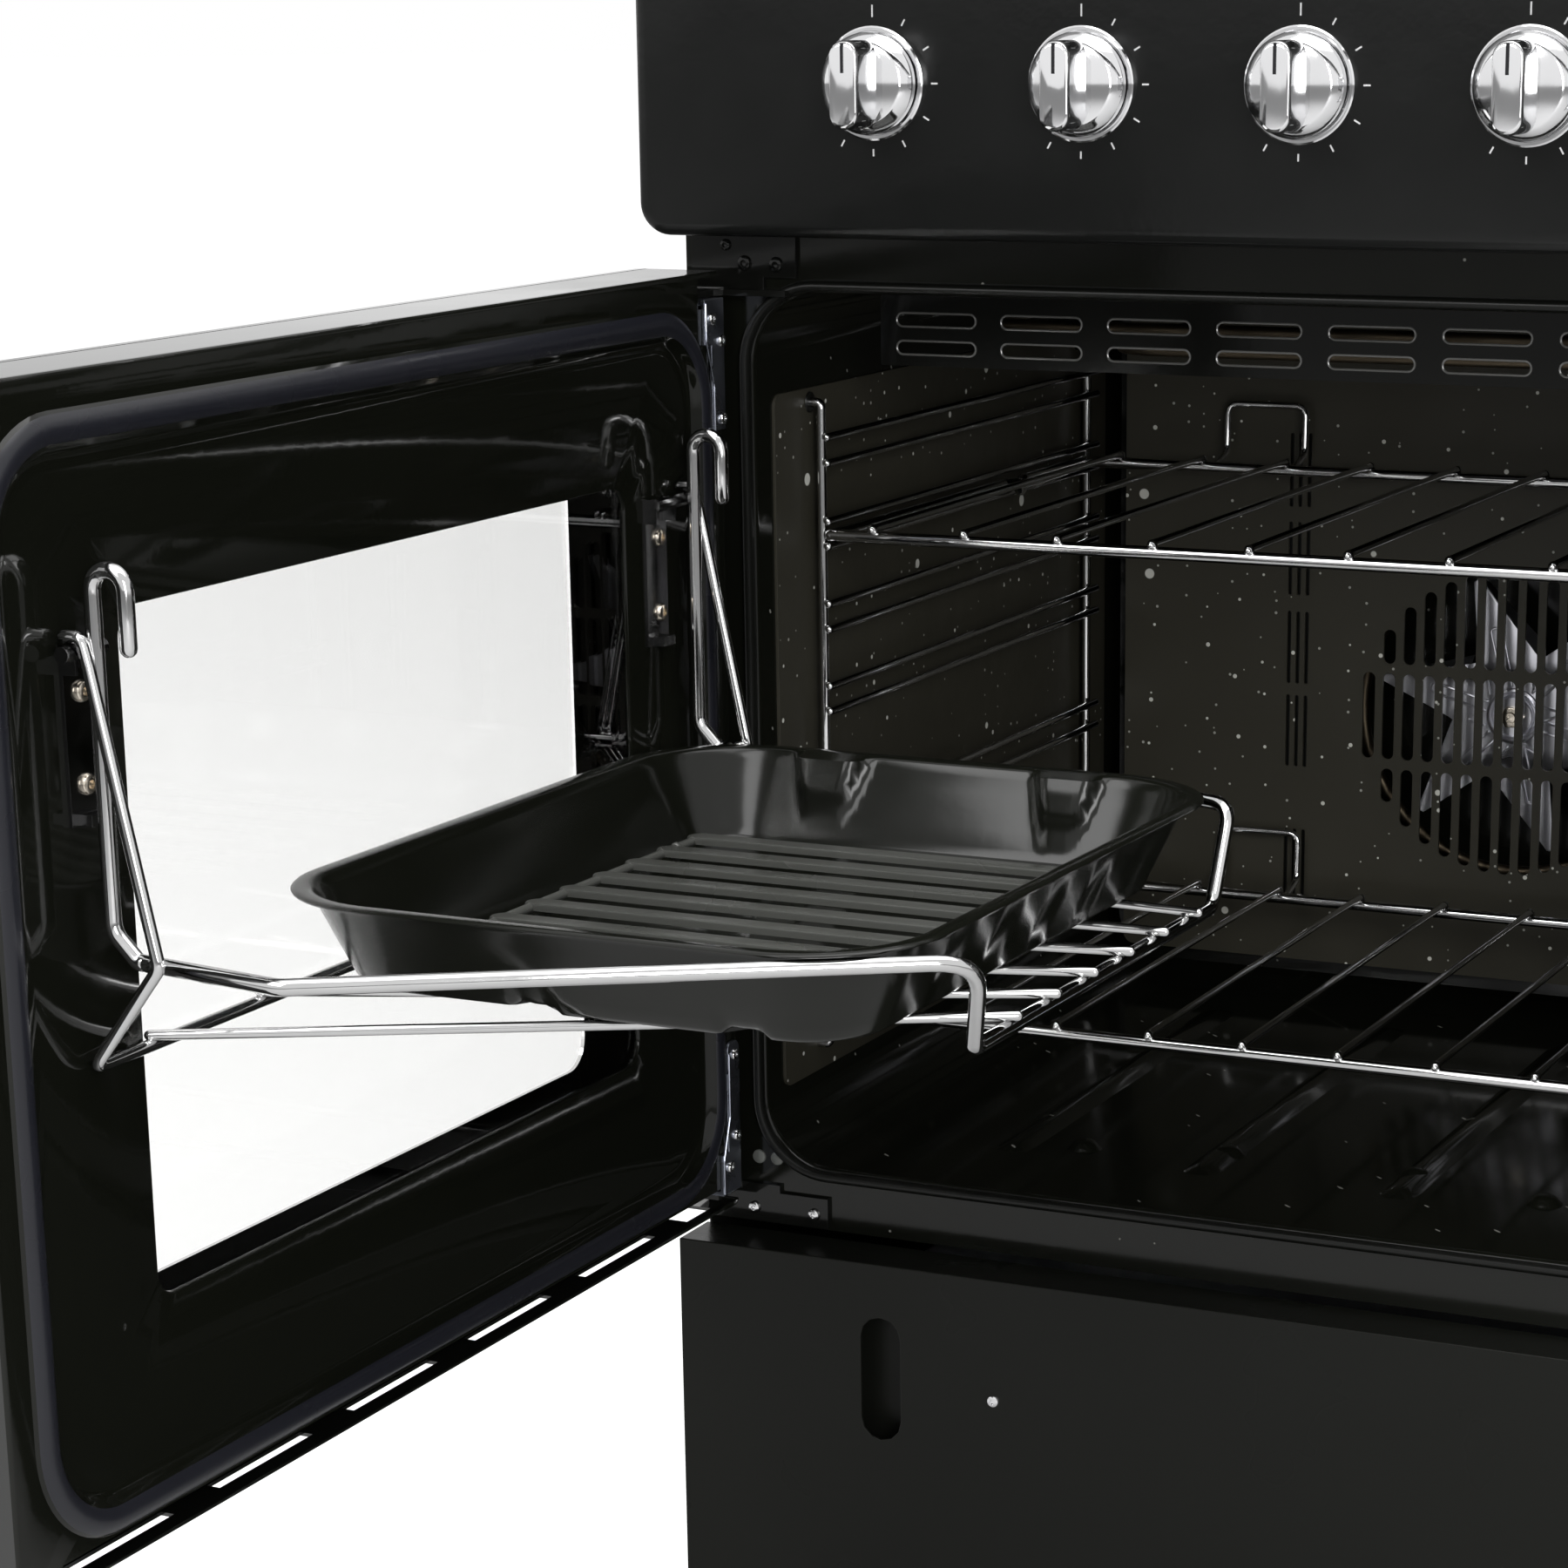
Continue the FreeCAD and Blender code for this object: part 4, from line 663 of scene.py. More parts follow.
KNOBS = [-435, -340, -245, -150, 150, 245, 340, 435]
KNOB_Z = 802.0
marks, bezels = Piece(), Piece()
for i, x in enumerate(KNOBS):
    knob = Piece()
    base = PANEL_FRONT - 2
    at = fronted(x, base, KNOB_Z)
    knob.lathe([(20.2, 0), (21, -0.8), (21, -4.6), (20, -6), (17.6, -8.4), (16.4, -9), (0.05, -9)], at, 56)
    knob.lathe([(4, 1), (4, 10.8)], at, 24)
    grip = outline(-6.5, 6.5, -18, 18, 6)
    knob.prism(grip, at, -7.5, -28, 2.2)
    knob.block(x - 0.7, x + 0.7, base - 28.3, base - 27.6, KNOB_Z + 5, KNOB_Z + 17, 1)
    knob.make("knob_%d_turned" % (i + 1), "knob_%d" % (i + 1), [bright, plastic], "knob_chrome",
              ["knob_%d" % (i + 1)])
    face = fronted(x, PANEL_FRONT, KNOB_Z, -1)
    bezels.lathe([(23.5, 0), (23.5, 0.8), (22.8, 1.3), (21.6, 1.3), (21.4, 0.4), (8, 0.4)], face, 56)
    for k in range(8):
        a = math.radians(90 - k * 30)
        c, s = math.cos(a), math.sin(a)
        tick = [(27, -0.35), (30 if k else 32, -0.35), (30 if k else 32, 0.35), (27, 0.35)]
        marks.prism([(u * c - v * s, u * s + v * c) for u, v in tick], face, 0.0, 0.15)
bezels.make("knob_bezels", "cooker", [bright], "knob_chrome")
marks.make("dial_ticks", "cooker", [mark], "body_enamel")

soften("clock_module", plastic, 0.5)
digits = Piece()
SEGMENTS = {"1": "bc", "2": "abged", "0": "abcdef", "3": "abgcd"}
BARS = {"a": (0, 12, 5, 1), "g": (0, 6, 5, 1), "d": (0, 0, 5, 1), "b": (2.9, 9, 1, 5), "c": (2.9, 3, 1, 5),
        "f": (-2.9, 9, 1, 5), "e": (-2.9, 3, 1, 5)}
DIGITS_Z = KNOB_Z + 3


def lit(u, v, w, h):
    digits.block(u - w / 2, u + w / 2, PANEL_FRONT - 1.7, PANEL_FRONT - 1.45,
                 DIGITS_Z + v - h / 2, DIGITS_Z + v + h / 2)


for k, text in enumerate("1230"):
    cx = -18 + k * 9.5 + (5 if k > 1 else 0)
    for name in SEGMENTS[text]:
        u, v, w, h = BARS[name]
        lit(cx + u, v, w, h)
for v in (4, 8):
    lit(-1, v, 1, 1)
digits.make("clock_digits", "cooker", [display], "clock_plastic")
for k in (1, 2, 3):
    push = Piece()
    push.lathe([(5, 5.6), (5, -3.9), (4.6, -4.4), (0.05, -4.5)],
               fronted((k - 2) * 30, PANEL_FRONT, KNOB_Z - 12), 28)
    push.make("clock_button_%d_moulded" % k, "clock_button_%d" % k, [button], "button_plastic",
              ["clock_button_%d" % k])

RAIL_Z, RAIL_OUT = 853, 45
rail = Piece()
rail.tube([(LEFT + 20, PANEL_FRONT - RAIL_OUT, RAIL_Z), (RIGHT - 20, PANEL_FRONT - RAIL_OUT, RAIL_Z)], 9, 28)
for x in (LEFT + 40, 0, RIGHT - 40):
    rail.lathe([(11, 0), (10.8, -2), (8.6, -4), (7, -8), (6, -18), (6, -42)],
               fronted(x, PANEL_FRONT, RAIL_Z), 32)
rail.make("hand_rail_turned", "cooker", [bright], "knob_chrome", ["hand_rail"])


# -------- ovens
WALL = 33                   # from the side of an oven's column to its liner


def make_cavity(name, col):
    mouth = (col + WALL, col + COLUMN - WALL, MOUTH_LOW, MOUTH_TOP)
    cx = col + COLUMN / 2
    oven = Piece()
    ring = lambda grow, y, r: upright(inset(mouth, -grow, r, 14), y)
    deep = FRONT + 430
    oven.loft([ring(-14, deep, 20), ring(-6, deep - 1.8, 27), ring(-1.6, deep - 7, 31),
               ring(0, deep - 14, 32), ring(0, FRONT + 3, 32), ring(0.5, FRONT + 1, 32.5),
               ring(1.6, FRONT, 33.5)], ends=(True, False))
    plate = outline(col + 0.2, col + COLUMN - 0.2, FACE_LOW, PANEL_LOW + 20, 1.0, 3)
    surface(oven, plate, [inset(mouth, -1.6, 33.5, 14)], lambda u, v: Vector((u, FRONT, v)))
    oven.loft([upright(plate, FRONT), upright(plate, FRONT + 1.5)], ends=(False, False))
    skin = [ring(1.5, FRONT + 1.5, 33.5), ring(1.5, deep - 10, 33.5), ring(-5, deep + 1.5, 26)]
    surface(oven, plate, [inset(mouth, -1.5, 33.5, 14)], lambda u, v: Vector((u, FRONT + 1.5, v)))
    oven.loft(skin, ends=(False, True))
    oven.block(col + 1.5, col + COLUMN - 1.5, FRONT + 0.2, FRONT + 16, FACE_LOW, FACE_LOW + 1.5)
    for k in (-1.5, -0.5, 0.5, 1.5):
        rings = []
        for y, size in ((60, 0.1), (64, 0.6), (72, 1), (200, 1), (338, 1), (346, 0.6), (350, 0.1)):
            rings.append([Vector((cx + k * 96 + u, FRONT + y, MOUTH_LOW + w * size - 0.4)) for u, w in
                          ((-10, 0), (-7, 1.0), (-3.5, 3.0), (0, 3.5), (3.5, 3.0), (7, 1.0), (10, 0))])
        oven.loft(rings)
    for u, y in ((-113, -198), (113, -198), (-46, -181), (46, -181)):
        oven.lathe([(9, -0.4), (7.5, 0.8), (5.5, 3.2), (3, 4.4), (0.05, 4.7)],
                   standing(cx + u, y, MOUTH_LOW), 28)
    oven.make("oven_cavity_%s_pressed" % name, "cooker", [cavity], "cavity_enamel", ["oven_cavity_" + name])

    seal = Piece()
    bands = ((5.8, 0), (6.0, -1.4), (5.5, -3.4), (4.4, -4.6), (3.1, -4.9), (1.9, -4.5), (1.0, -3.2),
             (0.8, -1.2), (1.2, 0))
    seal.loft([ring(g, FRONT + h, 32 + g) for g, h in bands], closed=True)
    return seal


LADDER_FRONT, LADDER_BACK = 53.0, 375.0
seals = Piece()
liners, ladders = Piece(), Piece()
for name, col in (("left", LEFT), ("right", 0.0)):
    part = make_cavity(name, col)
    seals.add(part.points, part.faces)
    for wall, side in ((col + WALL, 1), (col + COLUMN - WALL, -1)):
        at = lambda u, v, h, wall=wall, side=side: Vector((wall + side * h, u, v))
        plate = outline(FRONT + 17, FRONT + 416, MOUTH_TOP - 373.5, MOUTH_TOP - 47.5, 6, 8)
        liners.pierced(plate, [], at, 1.5)
        x = wall + side * 7.4
        near = x + side * 4.25
        top, low = MOUTH_TOP - 52, MOUTH_TOP - 362
        for y in (FRONT + LADDER_FRONT, FRONT + LADDER_BACK):
            wire = smooth_path([(wall + side * 1.6, y, top - 2), (x, y, top - 2), (x, y, low + 2),
                                (wall + side * 1.6, y, low + 2)], 4)
            ladders.tube(wire, 2.2, 12)
            liners.lathe([(5, 0), (4.6, 0.8), (0.05, 1.0)], lambda a, b, h, wall=wall, side=side, y=y:
                         Vector((wall + side * (1.5 + h), y + a, top - 2 + b)), 20, 1)
        for level in LEVELS:
            for drop in (0, 11.9):
                z = MOUTH_TOP - level - drop
                ends = FRONT + LADDER_FRONT - 3, FRONT + LADDER_BACK + 3
                ladders.tube([(near, y, z) for y in ends], 2.0, 12)
seals.make("oven_seals_moulded", "cooker", [rubber_and_shade], "seal_rubber", ["oven_seals"])
liners.make("side_liners_coated", "cooker", [coating, rubber_and_shade], "liner_coating",
            ["oven_side_liners"], bevel=0.4)
ladders.make("shelf_ladders_round", "cooker", [chrome], "wire_chrome", ["shelf_ladders"])


def make_shelf(name, col, level):
    shelf = Piece()
    cx = col + COLUMN / 2
    reach = 229.05
    z = MOUTH_TOP - level - 11.9 + 5.3
    y0, y1 = FRONT + 51, FRONT + 355
    top = z + 4.3
    shelf.tube([(cx - reach, y0, z), (cx + reach, y0, z)], 3, 14)
    shelf.tube([(cx - reach, y1, z), (cx + reach, y1, z)], 3, 14)
    for side in (-1, 1):
        x = cx + side * reach
        notch = [(x, y0, z), (x, FRONT + 250, z), (x - side * 4.4, FRONT + 258, z),
                 (x - side * 4.6, FRONT + 262, z - 5), (x - side * 4.4, FRONT + 266, z + 1),
                 (x, FRONT + 276, z), (x, y1, z)]
        shelf.tube(smooth_path(notch, 3, 4), 3, 14)
    for i in range(10):
        x = cx + (i - 4.5) * 46.1
        crimped = [(y0 - 2.2, top - 0.6), (y0 + 2, top), (y1 - 2, top), (y1 + 2.2, top - 0.6)]
        shelf.tube([(x, y, h) for y, h in crimped], 1.8, 12)
        for y in (y0 - 1.2, y1 + 1.2):
            shelf.ball((x, y, top - 0.5), 2.5)
    for side in (-1, 1):
        inner, outer = cx + side * 111.8, cx + side * 154.8
        hoop = [(inner, y1, z), (inner, y1 + 20, z + 6), (inner, y1 + 21, z + 31), (outer, y1 + 21, z + 31),
                (outer, y1 + 20, z + 6), (outer, y1, z)]
        shelf.tube(smooth_path(hoop, 6), 1.8, 12)
    shelf.make(name + "_round", name, [chrome], "wire_chrome", [name])


make_shelf("shelf_upper", LEFT, LEVELS[1])
make_shelf("shelf_lower", LEFT, LEVELS[5])
make_shelf("shelf_right_oven", 0.0, LEVELS[3])

for node, cx in (("grill_element", -275), ("roof_element_right", 275)):
    loops = Piece()
    for reach, y, drop in ((180, 96, 20.5), (120, 120, 31.5)):
        z = MOUTH_TOP - drop
        path = [(cx - reach, FRONT + 431, z), (cx - reach, FRONT + y, z), (cx + reach, FRONT + y, z),
                (cx + reach, FRONT + 431, z)]
        loops.tube(smooth_path(path, 28, 10), 3.2, 14)
    loops.make(node + "_round", "cooker", [element], "element_metal", [node])

cover = Piece()
cy, cz = FRONT + 66, MOUTH_TOP - 37.2
holes = []
for i in range(8):
    x = -275 + (i - 3.5) * 52
    for drop in (16.4, 29.0):
        holes.append(slot(x - 19.75, x + 19.75, MOUTH_TOP - drop - 3.1, MOUTH_TOP - drop + 3.1))
cover.pierced(outline(-484.8, -65.2, cz, MOUTH_TOP, 1, 3), holes, lambda u, v, h: Vector((u, cy + h, v)), 1.5)
# thin tube round each slot, painted lighter than the cover as a highlight on its pressed edge
for hole in holes:
    cover.tube([Vector((u, cy + 0.1, v)) for u, v in hole], 0.55, 8, closed=True, material=1)
cover.block(-484.8, -65.2, cy + 0.2, cy + 16, MOUTH_TOP - 1.5, MOUTH_TOP - 0.1)
cover.block(-484.8, -65.2, cy + 0.2, cy + 8, cz, cz + 1.5)
cover.make("vent_cover_slotted", "cooker", [hob, slot_rim_painted_highlight], "cavity_enamel", ["vent_cover"])


def make_fan_end():
    back = Piece()
    cx, y0 = -275.0, BACK_PANEL
    x0, x1, z0, z1 = cx - 215, cx + 215, MOUTH_TOP - 381.5, MOUTH_TOP - 42
    holes = []
    middle = FAN_Z - 3
    for i in range(-7, 8):
        x = cx + i * 10.9
        rise = math.sqrt(max(0.0, 80.0 ** 2 - (i * 10.9) ** 2))
        spans = [(-min(23, rise), min(23, rise))]
        if rise > 38:
            spans += [(28, rise), (-rise, -28)]
        holes += [slot(x - 3.3, x + 3.3, middle + a, middle + b) for a, b in spans]
    slits = []
    for side in (-1, 1):
        for k in (-1, 0, 1):
            x = cx + side * 116.5 + k * 4.9
            slits += [slot(x - 1.1, x + 1.1, FAN_Z + a, FAN_Z + a + 38.6)
                      for a in (-106.3, -33.6, 11.2, 58.5, 105)]
    back.pierced(outline(x0, x1, z0, z1, 6, 5), holes + slits, lambda u, v, h: Vector((u, y0 + h, v)), 1.5)
    ring = lambda by, y: upright(inset((x0, x1, z0, z1), by, 6 - by, 5), y)
    back.loft([ring(0, y0 + 0.2), ring(0, y0 + 46.9), ring(1.5, y0 + 46.9), ring(1.5, y0 + 1.4)], closed=True)
    # dark strip behind each group of slits: painted shade seen through the slits
    for side in (-1, 1):
        x = cx + side * 116.5
        back.block(x - 8, x + 8, y0 + 3.2, y0 + 3.6, FAN_Z - 112, FAN_Z + 150, 1)
    back.make("back_panel_grille", "cooker", [coating, rubber_and_shade], "liner_coating",
              ["oven_back_panel"])

    coil = Piece()
    y = y0 + 18
    coil.tube([(cx + 85 * math.cos(2 * math.pi * k / 64), y, FAN_Z + 85 * math.sin(2 * math.pi * k / 64))
               for k in range(64)], 3.2, 12, closed=True)
    for x in (cx - 12, cx + 12):
        coil.tube([(x, y, FAN_Z + 83.5), (x, FRONT + 430, FAN_Z + 83.5)], 3, 12)
    coil.make("fan_element_round", "cooker", [element], "element_metal", ["fan_element"])

    fan = Piece()
    hub = y0 + 8
    at = lambda u, v, h: Vector((cx + u, hub + h, FAN_Z + v))
    polar = lambda r, a: (r * math.cos(math.radians(a)), r * math.sin(math.radians(a)))
    arms = range(167, 527, 60)
    star = []
    for a in arms:
        star += [polar(73, a - 1), polar(74, a), polar(73, a + 2), polar(36, a + 17), polar(33.5, a + 20),
                 polar(35, a + 24)]
    fan.prism(star, at, 3.4, 2.0, 0.5)
    for a in arms:
        c, s = polar(1, a - 3)
        bead = smooth_path([at(r * c - w * s, r * s + w * c, 1.9) for r, w in
                            ((16, 2.6), (47, 2.6), (47, -2.6), (16, -2.6))], 2.5, 5)
        fan.tube(bead, 0.75, 8)
        bend = ((17, a + 33), (27, a + 20), (17, a + 7))
        fan.tube(smooth_path([at(*polar(r, b), 1.9) for r, b in bend], 8, 6), 0.75, 8)
        tip, root = polar(73.4, a - 0.6), polar(35, a - 34)
        lean = polar(1, a - 100)
        vane = [(*root, 2.6), (*tip, 2.6), (tip[0] * 0.96, tip[1] * 0.96, 15.5),
                (root[0] * 1.1, root[1] * 1.1, 15.5)]
        fan.loft([[at(u + lean[0] * k, v + lean[1] * k, h) for u, v, h in vane] for k in (-0.5, 0.6)])
    fan.lathe([(15, 2.4), (14.4, 0.9), (13.2, 0.4), (12.2, 1.2), (11.6, 2.6), (11, 1.2), (10, 0.1),
               (8, 0), (4, 0)], at, 56)
    fan.tube([at(0, 0, 1), at(0, 0, 65)], 3, 20, domed=False)
    nut = [(6.2 * math.cos(math.pi * k / 3), 6.2 * math.sin(math.pi * k / 3)) for k in range(6)]
    fan.prism(nut, at, 1.0, -3.6, 0.8, 1)
    fan.lathe([(3, -3.5), (2.6, -5.2), (0.05, -5.6)], at, 20, 1)
    fan.make("fan_impeller_bladed", "fan_impeller", [alloy, brassy], "fan_metal",
             ["fan_impeller"])


make_fan_end()


# -------- doors
BEAD = [(13.0, 11.0), (14.2, 12.2), (16.0, 13.7), (18.2, 14.5), (20.0, 14.6), (22.0, 14.4), (24.2, 13.2),
        (26.2, 11.0), (28.2, 9.3), (30.5, 8.6), (34.0, 8.5)]
WINDOW = (77.0, 442.0, -334.0, -75.1)
NOTCHES = [(DOOR_NEAR - 3, 12, -15, 20, -5.8, DOOR_HIGH - 2.6), (DOOR_NEAR - 3, 12, -15, 20, -421.5, -412.1)]


def make_door(side, place, facing, body):
    leaf = s0, s1, z0, z1 = DOOR_NEAR, DOOR_FAR, DOOR_LOW, DOOR_HIGH
    on = lambda shape, off: [place(u, off, v) for u, v in shape]
    ring = lambda by, off: on(inset(leaf, by, 3 + by * 0.4 if by < 13 else max(46 - (by - 13), 20), 14), off)
    inner = Piece()
    inner.loft([ring(0, 9.0), ring(0.1, 10.2), ring(0.6, 10.8), ring(1.4, 11.0)], ends=(False, False))
    surface(inner, inset(leaf, 1.4, 3.56, 14), [inset(leaf, 13, 46, 14)], lambda u, v: place(u, 11.0, v))
    inner.loft([ring(i, off) for i, off in BEAD[:2]], ends=(False, False))
    inner.loft([ring(i, off) for i, off in BEAD[1:7]], ends=(False, False), material=1)
    inner.loft([ring(i, off) for i, off in BEAD[6:]], ends=(False, False))
    lip = [(0.0, 8.5, 12.0), (-0.5, 8.2, 11.5), (-0.9, 7.5, 11.1), (-1.0, 5.5, 11.0)]
    surface(inner, inset(leaf, 34, 25, 14), [inset(WINDOW, 0, 12, 14)], lambda u, v: place(u, 8.5, v))
    inner.loft([on(inset(WINDOW, -g, r, 14), off) for g, off, r in lip], ends=(False, False))
    made = inner.make("door_%s_pressing" % side, body, [door_gloss, door_bead], "door_enamel",
                      ["door_%s_inner" % side], open_facing=facing, solid=1.2)
    cut_away(made, NOTCHES + [(6, 512, 8.0, 12.5, z0 - 2, z0 + 12.2)], place)

    shell = Piece()
    shell.pierced(inset(leaf, 0, 3, 6), [inset(leaf, 40, 10, 8)], lambda u, v, h: place(u, -26 + h, v), 1.5)
    fold = lambda by, off: on(inset(leaf, by, 3 - by, 6), off)
    shell.loft([fold(0, -25.6), fold(0, 9.2), fold(0.3, 9.5), fold(1.2, 9.5), fold(1.5, 9.2),
                fold(1.5, -25.2)], closed=True)
    folded = shell.make("door_%s_folded_skin" % side, body, [skin], "door_enamel",
                        ["door_%s_skin" % side])
    slots = [(88 + 94 * k - 32, 88 + 94 * k + 32, -4.5, 1.5, z0 - 2, z0 + 3) for k in range(5)]
    cut_away(folded, NOTCHES + slots + [(7, 30, -12, 4, z0 - 2, z0 + 3)], place)

    panes = Piece()
    panes.pierced(inset(leaf, 0, 4, 6), [inset(WINDOW, -6, 14)], lambda u, v, h: place(u, -30 + h, v), 4.0, 1)
    panes.make("door_%s_glass_print" % side, body, [printed, printed], "door_glass",
               ["door_%s_glazing" % side])
    clear = Piece()
    flat = lambda u, v, h: place(u, h, v)
    clear.prism(inset(WINDOW, -5.9, 13.9), flat, -29.9, -26.1)
    clear.prism(inset(WINDOW, -9, 14), flat, 3.0, 7.0)
    clear.make("door_%s_clear_panes" % side, body, [glass], "door_glass")

    bar = Piece()
    low, high = s0 + 58 + 9.65, s1 - 58
    bar.lathe([(0.05, 0.2), (8.2, 0.2), (9.3, 1), (9.65, 2.4), (9.65, 461.6), (9.3, 463), (8.2, 463.8),
               (0.05, 463.8)],
              lambda p, q, h: place(36 + h, -75 + p, -38 + q), 36)
    for s in (low, high):
        bar.lathe([(12, -30), (11.7, -32), (9.4, -34.5), (8, -38), (7, -48), (7, -72)],
                  doored(place, s, 0, -38), 32)
    bar.make("door_%s_bar" % side, body, [bright], "knob_chrome", ["door_%s_handle" % side])

    soften("door_%s_hinge_straps" % side, zinc, 0.4)
    heads = Piece()
    face = 12.5
    heads.prism(outline(-8.8, 2.4, -359, -343, 4), lambda u, v, h: place(u, h, v), 11.2, 12.6, 0.4, 2)
    for s, z in ((2.4, -10.4), (-6.0, -20.6), (-6.0, -55.0), (-4.0, -349.5), (-5.0, -389.0), (2.0, -403.0)):
        screw(heads, doored(place, s, face, z), 2.9, 1.5)
    for z0s, sign in ((-3.5, -1), (-414.5, 1)):
        lip_path = [(8.4, 0), (8.4, 16), (1.8, 36), (1.8, 56 if sign < 0 else 66)]
        wire = [place(s, face + 0.3, z0s + sign * d) for s, d in lip_path]
        heads.tube(smooth_path(wire, 6), 0.6, 8, material=1)
    heads.make("door_%s_strap_screws" % side, body, [bright, zinc, zinc],
               "zinc_plate")


make_door("left", on_left, LEFT_FACING, "door_left")
make_door("right", on_right, RIGHT_FACING, "door_right")

soften("hinge_brackets", hob, 0.5)
LEDGE = ((-531, -278.2), (-495, -278.2), (-497, -285.4), (-527.5, -286), (-531, -291))
bracket_screws = Piece()
for mirror in (1, -1):
    x0 = LEFT * mirror
    for dx, dz, r in ((30.8, 12.7, 3.4), (46.5, 12.3, 3.4), (21.6, 20.5, 2.6)):
        screw(bracket_screws, fronted(x0 + mirror * dx, FRONT - 2.5, MOUTH_TOP + dz, -1), r, 1.6)
    ledge = [(mirror * x, y) for x, y in LEDGE]
    bracket_screws.prism(ledge, standing(0, 0, 0), MOUTH_TOP - 1.3, MOUTH_TOP + 1.3, material=3)
    for dx, dz in ((26.6, -428.0), (58.0, -428.0)):
        screw(bracket_screws, fronted(x0 + mirror * dx, FRONT - 2.5, MOUTH_TOP + dz, -1), 3.0, 1.8, 1)
    for dx, dz in ((28.3, -403.3), (37.8, -403.2)):
        bracket_screws.lathe([(3.4, 0), (3.2, 0.8), (2.2, 1.2), (0.05, 1.3)],
                             fronted(x0 + mirror * dx, FRONT, MOUTH_TOP + dz, -1), 20, 2)
bracket_screws.make("bracket_screws", "cooker", [hob, bright, plug, hob], "zinc_plate")

soften("rack_brackets", dark_metal, 0.5)
rack_screws = Piece()
for s, z in ((51, -101), (51, -134), (467, -101), (467, -134)):
    screw(rack_screws, doored(on_left, s, 10, z), 4.0, 2.2)
rack_screws.make("rack_bracket_screws", "door_left", [brassy], "zinc_plate")


# -------- rack, tin and grid
def make_rack():
    rack = Piece()
    rim, base, peak, off = -195.5, -236.0, -57.0, 21.0
    far, near = 471.5, 38.0

    def hanger(s):
        arc = [(off + 7 + 7 * math.cos(math.radians(a)), peak - 7 + 7 * math.sin(math.radians(a)))
               for a in range(0, 181, 20)]
        return ([on_left(s, off + 14, -84)] + [on_left(s, o, z) for o, z in arc]
                + smooth_path([on_left(s, off, peak - 9), on_left(s, off, rim + 10),
                               on_left(s, off + 10, rim), on_left(s, off + 14, rim)], 10))
    path = hanger(far)
    path += smooth_path([on_left(far + 0.6, off + 14.5, rim), on_left(far + 10.5, 97, rim),
                         on_left(352, 302, rim), on_left(322, 286, base), on_left(80, 283, base),
                         on_left(66, 285, rim),
                         on_left(43, 225, rim), on_left(44, 62, rim), on_left(43.8, off + 14.5, rim)], 9,
                        wide=(2,))
    path += reversed(hanger(near))
    rack.tube(path, 3.15, 16)

    def strut(s):
        return [on_left(s, 11.7, -80.4), on_left(s, 18.4, -80.4), on_left(s, 20.8, -90), on_left(s, 43, rim),
                on_left(s, 12, base + 1)]
    rack.tube(smooth_path(strut(far + 4.65) + list(reversed(strut(near - 4.65))), 6), 2.5, 14)
    for k in range(6):
        z = base + 4.65
        a, b = on_left(442 - 350 * k / 5, 11.5, z), on_left(290 - 180 * k / 5, 289, z)
        rack.tube([a, b], 2.0, 12)
    for s in (near, far):
        rack.ball(on_left(s + (2.4 if s > 200 else -2.4), 40, rim), 3.4)
    rack.make("door_rack_round", "door_rack", [chrome], "wire_chrome", ["door_rack"])


make_rack()


